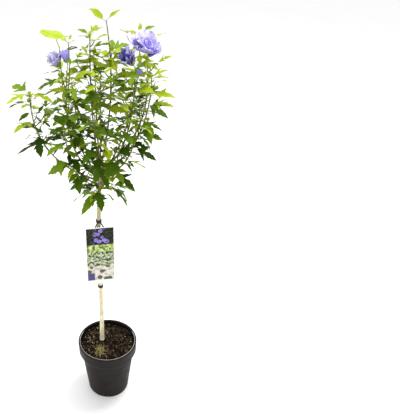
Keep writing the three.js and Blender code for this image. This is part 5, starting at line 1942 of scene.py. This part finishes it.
@dataclass
class Soil:
    """The growing mix, with its clods, chips, fibres and a patch of moss."""

    pot: Pot
    top: float = 171
    lump: float = 2.4
    seat: float = 26
    fade: float = 14
    gap: float = 0.4
    chips: int = 620
    pale_left: float = 0.22
    pale_right: float = 0.05
    fibres: int = 90
    strands: int = 80
    tufts: int = 50
    moss_at: Pair = (-21, -31)
    moss_reach: Pair = (18, 19)
    trunk_clear: float = 13
    flat_share: float = 0.8

    def __post_init__(self) -> None:
        """Finds the soil's edge in its pot."""
        self.edge = self.pot.collar_radius - self.pot.wall - self.gap - 0.2

    def level(self, x: float, y: float) -> float:
        """The height of the even surface at a place."""
        foot = TRUNK.middle(TRUNK.soil)
        share = clamped((hypot(x - foot[0], y - foot[1]) - self.seat) / self.fade)
        rolls = sin(0.21 * x + 1.3) * cos(0.17 * y) + 0.6 * sin(0.09 * x - 0.31 * y)
        return self.top + share * self.lump * rolls / 2

    def surface(self, x: float, y: float) -> float:
        """The height of the crumbly surface at a place, raised where the moss is."""
        coarse, fine = rough(x * 0.16, y * 0.16, 2), rough(x * 0.5, y * 0.5, 7)
        off = hypot((x - self.moss_at[0]) / self.moss_reach[0], (y - self.moss_at[1]) / self.moss_reach[1])
        return self.level(x, y) + 1.3 * coarse + 0.7 * fine + 0.9 * exp(-off * off)

    def build(self) -> None:
        """Makes the soil, its moss and what lies on it."""
        bm = close_ends(sheet(110, 45, self._place, wrap=True))
        make_piece("soil_mix", as_mesh(bm), (Ground.PEAT,), "soil", "soil")
        self._litter()

    def _place(self, u: float, v: float) -> Vector:
        """A point of the soil at shares round, and out along its top and down its side."""
        angle = tau * u
        if v <= self.flat_share:
            radius = lerp(0.6, self.edge, v / self.flat_share)
            x, y = radius * cos(angle), radius * sin(angle)
            return Vector((x, y, self.surface(x, y)))
        pot = self.pot
        share = (v - self.flat_share) / 0.2
        height = lerp(self.top - 6, pot.floor + self.gap, share)
        inside = min(self.edge, pot.side(height) - pot.wall - self.gap)
        radius = inside if height < pot.collar_foot else self.edge - 1.5
        return Vector((radius * cos(angle), radius * sin(angle), height))

    def _litter(self) -> None:
        """Scatters chips, fibres and moss over the surface."""
        dice = np.random.default_rng(11)
        litter, moss = Batch(), Batch()
        for _ in range(self.chips):
            x, y = self._spot(dice, self.edge - 3)
            pale = dice.uniform() < (self.pale_left if x < 0 else self.pale_right)
            litter.add(self._chip(dice, x, y), int(pale))
        for _ in range(self.fibres):
            litter.add(self._fibre(dice, *self._spot(dice, self.edge - 16)), 2)
        for i in range(self.tufts + self.strands):
            x, y = (at + off * reach for at, off, reach in zip(self.moss_at, dice.normal(0, 0.5, 2), self.moss_reach))
            strand = i >= self.tufts
            moss.add(self._fibre(dice, x, y) if strand else self._tuft(dice, x, y), int(strand))
        make_piece("soil_litter", litter.mesh(), (Ground.CHIP, Ground.PALE_CHIP, Ground.FIBRE), "soil")
        make_piece("soil_moss", moss.mesh(), (Ground.MOSS, Ground.STRAW), "soil")

    def _spot(self, dice: Random, reach: float) -> Pair:
        """A place on the surface, clear of the trunk."""
        foot = TRUNK.middle(TRUNK.soil)
        while True:
            radius, angle = reach * sqrt(dice.uniform()), dice.uniform(0, tau)
            x, y = radius * cos(angle), radius * sin(angle)
            if hypot(x - foot[0], y - foot[1]) > self.trunk_clear:
                return x, y

    def _laid(self, bm: BMesh, x: float, y: float) -> Shape:
        """A small shape, laid on the surface at a place."""
        bmesh.ops.translate(bm, vec=(x, y, self.surface(x, y) + 0.2), verts=bm.verts[:])
        return Shape.of(bm)

    def _chip(self, dice: Random, x: float, y: float) -> Shape:
        """A chip of bark, lying nearly flat."""
        bm = bmesh.new()
        bmesh.ops.create_cube(bm, size=1)
        for vert in bm.verts:
            vert.co += Vector(dice.uniform(-0.16, 0.16, 3))
        size = dice.uniform(0.9, 3.0)
        bmesh.ops.scale(bm, vec=(size * dice.uniform(1, 1.9), size, dice.uniform(0.8, 1.6)), verts=bm.verts[:])
        upright = Vector((dice.uniform(-0.35, 0.35), dice.uniform(-0.35, 0.35), 1))
        bmesh.ops.transform(bm, matrix=upright.to_track_quat("Z", "Y").to_matrix().to_4x4(), verts=bm.verts[:])
        turn = Matrix.Rotation(dice.uniform(0, pi), 3, "Z")
        bmesh.ops.rotate(bm, cent=(0, 0, 0), matrix=turn, verts=bm.verts[:])
        return self._laid(bm, x, y)

    def _fibre(self, dice: Random, x: float, y: float) -> Shape:
        """A thin root fibre that lies along the surface."""
        angle, length = dice.uniform(0, tau), dice.uniform(7, 16)
        turn = dice.uniform(-1.4, 1.4)
        points = []
        for share in np.linspace(0, 1, 6):
            now = angle + turn * share
            px, py = x + length * share * cos(now), y + length * share * sin(now)
            points.append((px, py, self.surface(px, py) + 0.35))
        return round_limb(np.array(points), np.full(6, dice.uniform(0.22, 0.42)), UP, 4)

    def _tuft(self, dice: Random, x: float, y: float) -> Shape:
        """A small cushion of moss."""
        bm = bmesh.new()
        bmesh.ops.create_icosphere(bm, subdivisions=1, radius=1)
        for vert in bm.verts:
            vert.co *= dice.uniform(0.75, 1.2)
        size = dice.uniform(0.6, 1.2)
        bmesh.ops.scale(bm, vec=(size, size, size * 0.8), verts=bm.verts[:])
        return self._laid(bm, x, y)


# ---- card and ties


@dataclass
class Card:
    """The printed card that hangs in front of the trunk."""

    width: float = 78
    height: float = 183
    thickness: float = 0.7
    corner: float = 4
    top: float = 589
    across: float = 3
    stand_off: float = 14
    turn: float = 9
    hole_span: float = 26
    hole_drop: float = 7
    hole_radius: float = 2.3

    def place(self, across: float, up: float, out: float) -> Vector:
        """A point by its distance across the card, up from its top and out of its face."""
        middle = TRUNK.middle(self.top)
        head = middle + np.array([self.across, -self.stand_off, 0])
        return Vector(head + outward(self.turn) * across + UP * up + outward(self.turn - 90) * out)

    def build(self) -> None:
        """Makes the card with its two holes and its rounded corners."""
        bm = bmesh.new()
        edges = self._loop(bm, self._outline())
        for sign in (-1, 1):
            turn = np.linspace(0, tau, 18, endpoint=False)
            edges += self._loop(bm, self._arc(sign * self.hole_span / 2, -self.hole_drop, self.hole_radius, turn))
        bmesh.ops.triangle_fill(bm, edges=edges, use_beauty=True)
        thicken(face_out(bm), self.thickness)
        middle = sum(vert.co.z for vert in bm.verts) / len(bm.verts)
        bmesh.ops.translate(bm, vec=(0, 0, -middle), verts=bm.verts[:])
        bm.normal_update()
        for face in bm.faces:
            face.material_index = int(abs(face.normal.z) > 0.5)
        map_faces(bm, lambda at: (at.x / self.width + 0.5, 1 + at.y / self.height))
        for vert in bm.verts:
            vert.co = self.place(*vert.co)
        make_piece("card_face", as_mesh(face_out(bm), smooth=False), (Made.STOCK, Made.PRINT), "card", "card")

    def _outline(self) -> list[Pair]:
        """The card's edge, corner by corner from its top right."""
        w, h, r = self.width / 2, self.height, self.corner
        points = []
        for x, y, start in ((w - r, -r, 0), (-w + r, -r, 90), (-w + r, -h + r, 180), (w - r, -h + r, 270)):
            points += self._arc(x, y, r, [radians(start + 15 * step) for step in range(7)])
        return points

    @staticmethod
    def _arc(x: float, y: float, radius: float, turn: Sequence[float]) -> list[Pair]:
        """Points of an arc round a middle."""
        return [(x + radius * cos(angle), y + radius * sin(angle)) for angle in turn]

    @staticmethod
    def _loop(bm: BMesh, points: Sequence[Pair]) -> list[bmesh.types.BMEdge]:
        """Adds a closed loop of edges."""
        verts = [bm.verts.new((x, y, 0)) for x, y in points]
        return [bm.edges.new((a, b)) for a, b in zip(verts, verts[1:] + verts[:1])]


@dataclass
class Ties:
    """The rubber strap that carries the card, and the lower tie with its knot."""

    card: Card
    strap_height: float = 601
    strap_band: float = 9
    strap_wall: float = 2.2
    leg: float = 3.8
    leg_apart: float = 2
    peg: float = 1.8
    proud: float = 1.6
    tie_height: float = 382
    tie_band: float = 8
    tie_wall: float = 2
    knot: float = 7
    knot_aside: float = 1.5
    gap: float = 0.3

    def build(self) -> None:
        """Makes the strap and the tie."""
        strap = Batch(self._band(self.strap_height, self.strap_band, self.strap_wall))
        for sign in (-1, 1):
            self._carrier(strap, sign)
        make_piece("strap_band", strap.mesh(), (Made.STRAP,), "strap", "card_strap")
        tie = Batch(self._band(self.tie_height, self.tie_band, self.tie_wall), self._knot())
        make_piece("tie_band", tie.mesh(), (Made.STRAP,), "strap", "lower_tie")

    def _carrier(self, strap: Batch, sign: int) -> None:
        """Makes a leg of the strap and the peg that it puts through the card, on one side."""
        card = self.card
        facing, right = outward(card.turn - 90), outward(card.turn)
        inner = TRUNK.radius(self.strap_height - 3) + self.gap
        front = TRUNK.middle(self.strap_height) + facing * (inner + self.strap_wall / 2)
        hole = np.array(card.place(sign * card.hole_span / 2, -card.hole_drop, 0))
        knee = hole - facing * (card.thickness / 2 + self.gap + self.leg)
        start = front + right * (sign * self.leg_apart)
        curve = Curve(start, lerp(start, knee, 0.5) + right * (sign * 1.6) - UP * 0.8, knee)
        points = np.array([curve.point(s) for s in np.linspace(0, 1, 12)])
        strap.add(round_limb(points, np.full(12, self.leg / 2), right, 12))
        peg = np.array([knee - facing * self.peg / 2, hole, hole + facing * (card.thickness / 2 + self.proud)])
        strap.add(round_limb(peg, np.full(3, self.peg), right, 14))

    def _band(self, height: float, band: float, wall: float) -> Shape:
        """A band round the trunk with rounded edges."""
        inner = TRUNK.radius(height - band / 2) + self.gap
        outer = inner + wall
        h, r = band / 2, min(0.5, wall / 3)
        lower = [(inner, -h + r), (inner + r, -h), (outer - r, -h), (outer, -h + r), (outer - 0.15, -0.3)]
        bm = revolve(lower + [(x, -z) for x, z in reversed(lower)] + lower[:1], 36)
        bmesh.ops.translate(bm, vec=TRUNK.middle(height), verts=bm.verts[:])
        return Shape.of(bm)

    def _knot(self) -> Shape:
        """The tie's knot: a rounded lump with a groove, at the front."""
        middle = TRUNK.middle(self.tie_height)
        reach = TRUNK.radius(self.tie_height) + self.gap + self.knot * 0.4
        bm = bmesh.new()
        bmesh.ops.create_uvsphere(bm, u_segments=18, v_segments=12, radius=self.knot / 2)
        for vert in bm.verts:
            groove = 1 - 0.2 * exp(-((vert.co.x / 0.7) ** 2))
            vert.co = Vector((vert.co.x * 1.3, vert.co.y * 0.8 * groove, vert.co.z * groove))
        place = (middle[0] + self.knot_aside, middle[1] - reach, middle[2])
        bmesh.ops.translate(bm, vec=place, verts=bm.verts[:])
        return Shape.of(bm)


# ---- camera, light and floor


@dataclass(frozen=True)
class Lamp:
    """A soft square light: where it stands, what it is aimed at, its size, its power and its colour."""

    name: str
    place: Triple
    aim: Triple
    size: float
    power: float
    colour: Colour

    def build(self) -> None:
        """Places the light."""
        data = bpy.data.lights.new(self.name, "AREA")
        data.size, data.energy, data.color = self.size, self.power, self.colour
        light = added(self.name, data)
        light.location = self.place
        light.rotation_euler = (Vector(self.aim) - Vector(self.place)).to_track_quat("-Z", "Y").to_euler()


@dataclass
class Studio:
    """The camera, the lights and the pale floor."""

    camera_at: Triple = (0.065, -1.204, 1.356)
    tilt: float = 59.5
    focal_pixels: float = 540.65
    middle_pixel: float = 129
    sensor: float = 36
    sight: float = 200
    floor_reach: float = 40
    world: float = 1.08
    lamps: tuple[Lamp, ...] = (
        Lamp("key_light", (1.0, 0.7, 3.3), (0, 0, 0.75), 1.0, 64, (1, 0.985, 0.95)),
        Lamp("fill_light", (-2.3, -1.6, 1.7), (0, 0, 0.6), 2.4, 11, (0.94, 0.97, 1)),
        Lamp("top_light", (-0.4, 1.5, 2.9), (0, 0, 0.9), 2.0, 22, (1, 1, 1)),
    )

    def build(self) -> None:
        """Places the camera, the lights and the floor."""
        self._camera()
        for lamp in self.lamps:
            lamp.build()
        self._floor()
        world = bpy.data.worlds.new("studio")
        world.use_nodes = True
        backdrop = world.node_tree.nodes["Background"]
        backdrop.inputs["Color"].default_value = (1, 1, 1, 1)
        backdrop.inputs["Strength"].default_value = self.world
        bpy.context.scene.world = world
        bpy.context.scene.view_settings.view_transform = "Standard"

    def _camera(self) -> None:
        """Places the camera."""
        width, longer = FRAME_PIXELS[0], max(FRAME_PIXELS)
        data = bpy.data.cameras.new("camera")
        data.sensor_width = self.sensor
        data.lens = self.focal_pixels * self.sensor / longer
        data.shift_x = (width / 2 - self.middle_pixel) / longer
        data.clip_end = self.sight
        camera = added("camera", data)
        camera.location = self.camera_at
        camera.rotation_euler = (radians(self.tilt), 0, 0)
        bpy.context.scene.camera = camera

    def _floor(self) -> None:
        """Makes the floor."""
        bm = bmesh.new()
        bmesh.ops.create_grid(bm, x_segments=2, y_segments=2, size=self.floor_reach / 2)
        floor = added("floor", as_mesh(bm, 1.0, smooth=False))
        floor.data.materials.append(Cupboard.take(Made.FLOOR))


def main() -> None:
    """Builds the plant and its pot from the ground up."""
    logging.basicConfig(level=logging.INFO, format="%(name)s: %(message)s")
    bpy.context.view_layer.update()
    Studio().build()
    pot, card, plant = Pot(), Card(), Plant()
    for part in (pot, Soil(pot), Trunk(), card, Ties(card), Boughs(plant.boughs)):
        part.build()
    shapes = {form: form.value.build() for form in BladeForm}
    for name, mass in plant.masses.items():
        Foliage(mass, shapes).build()
        for i, flower in enumerate(mass.flowers):
            Blossom(flower, f"{name}_{i + 1}")


if __name__ == "__main__":
    main()
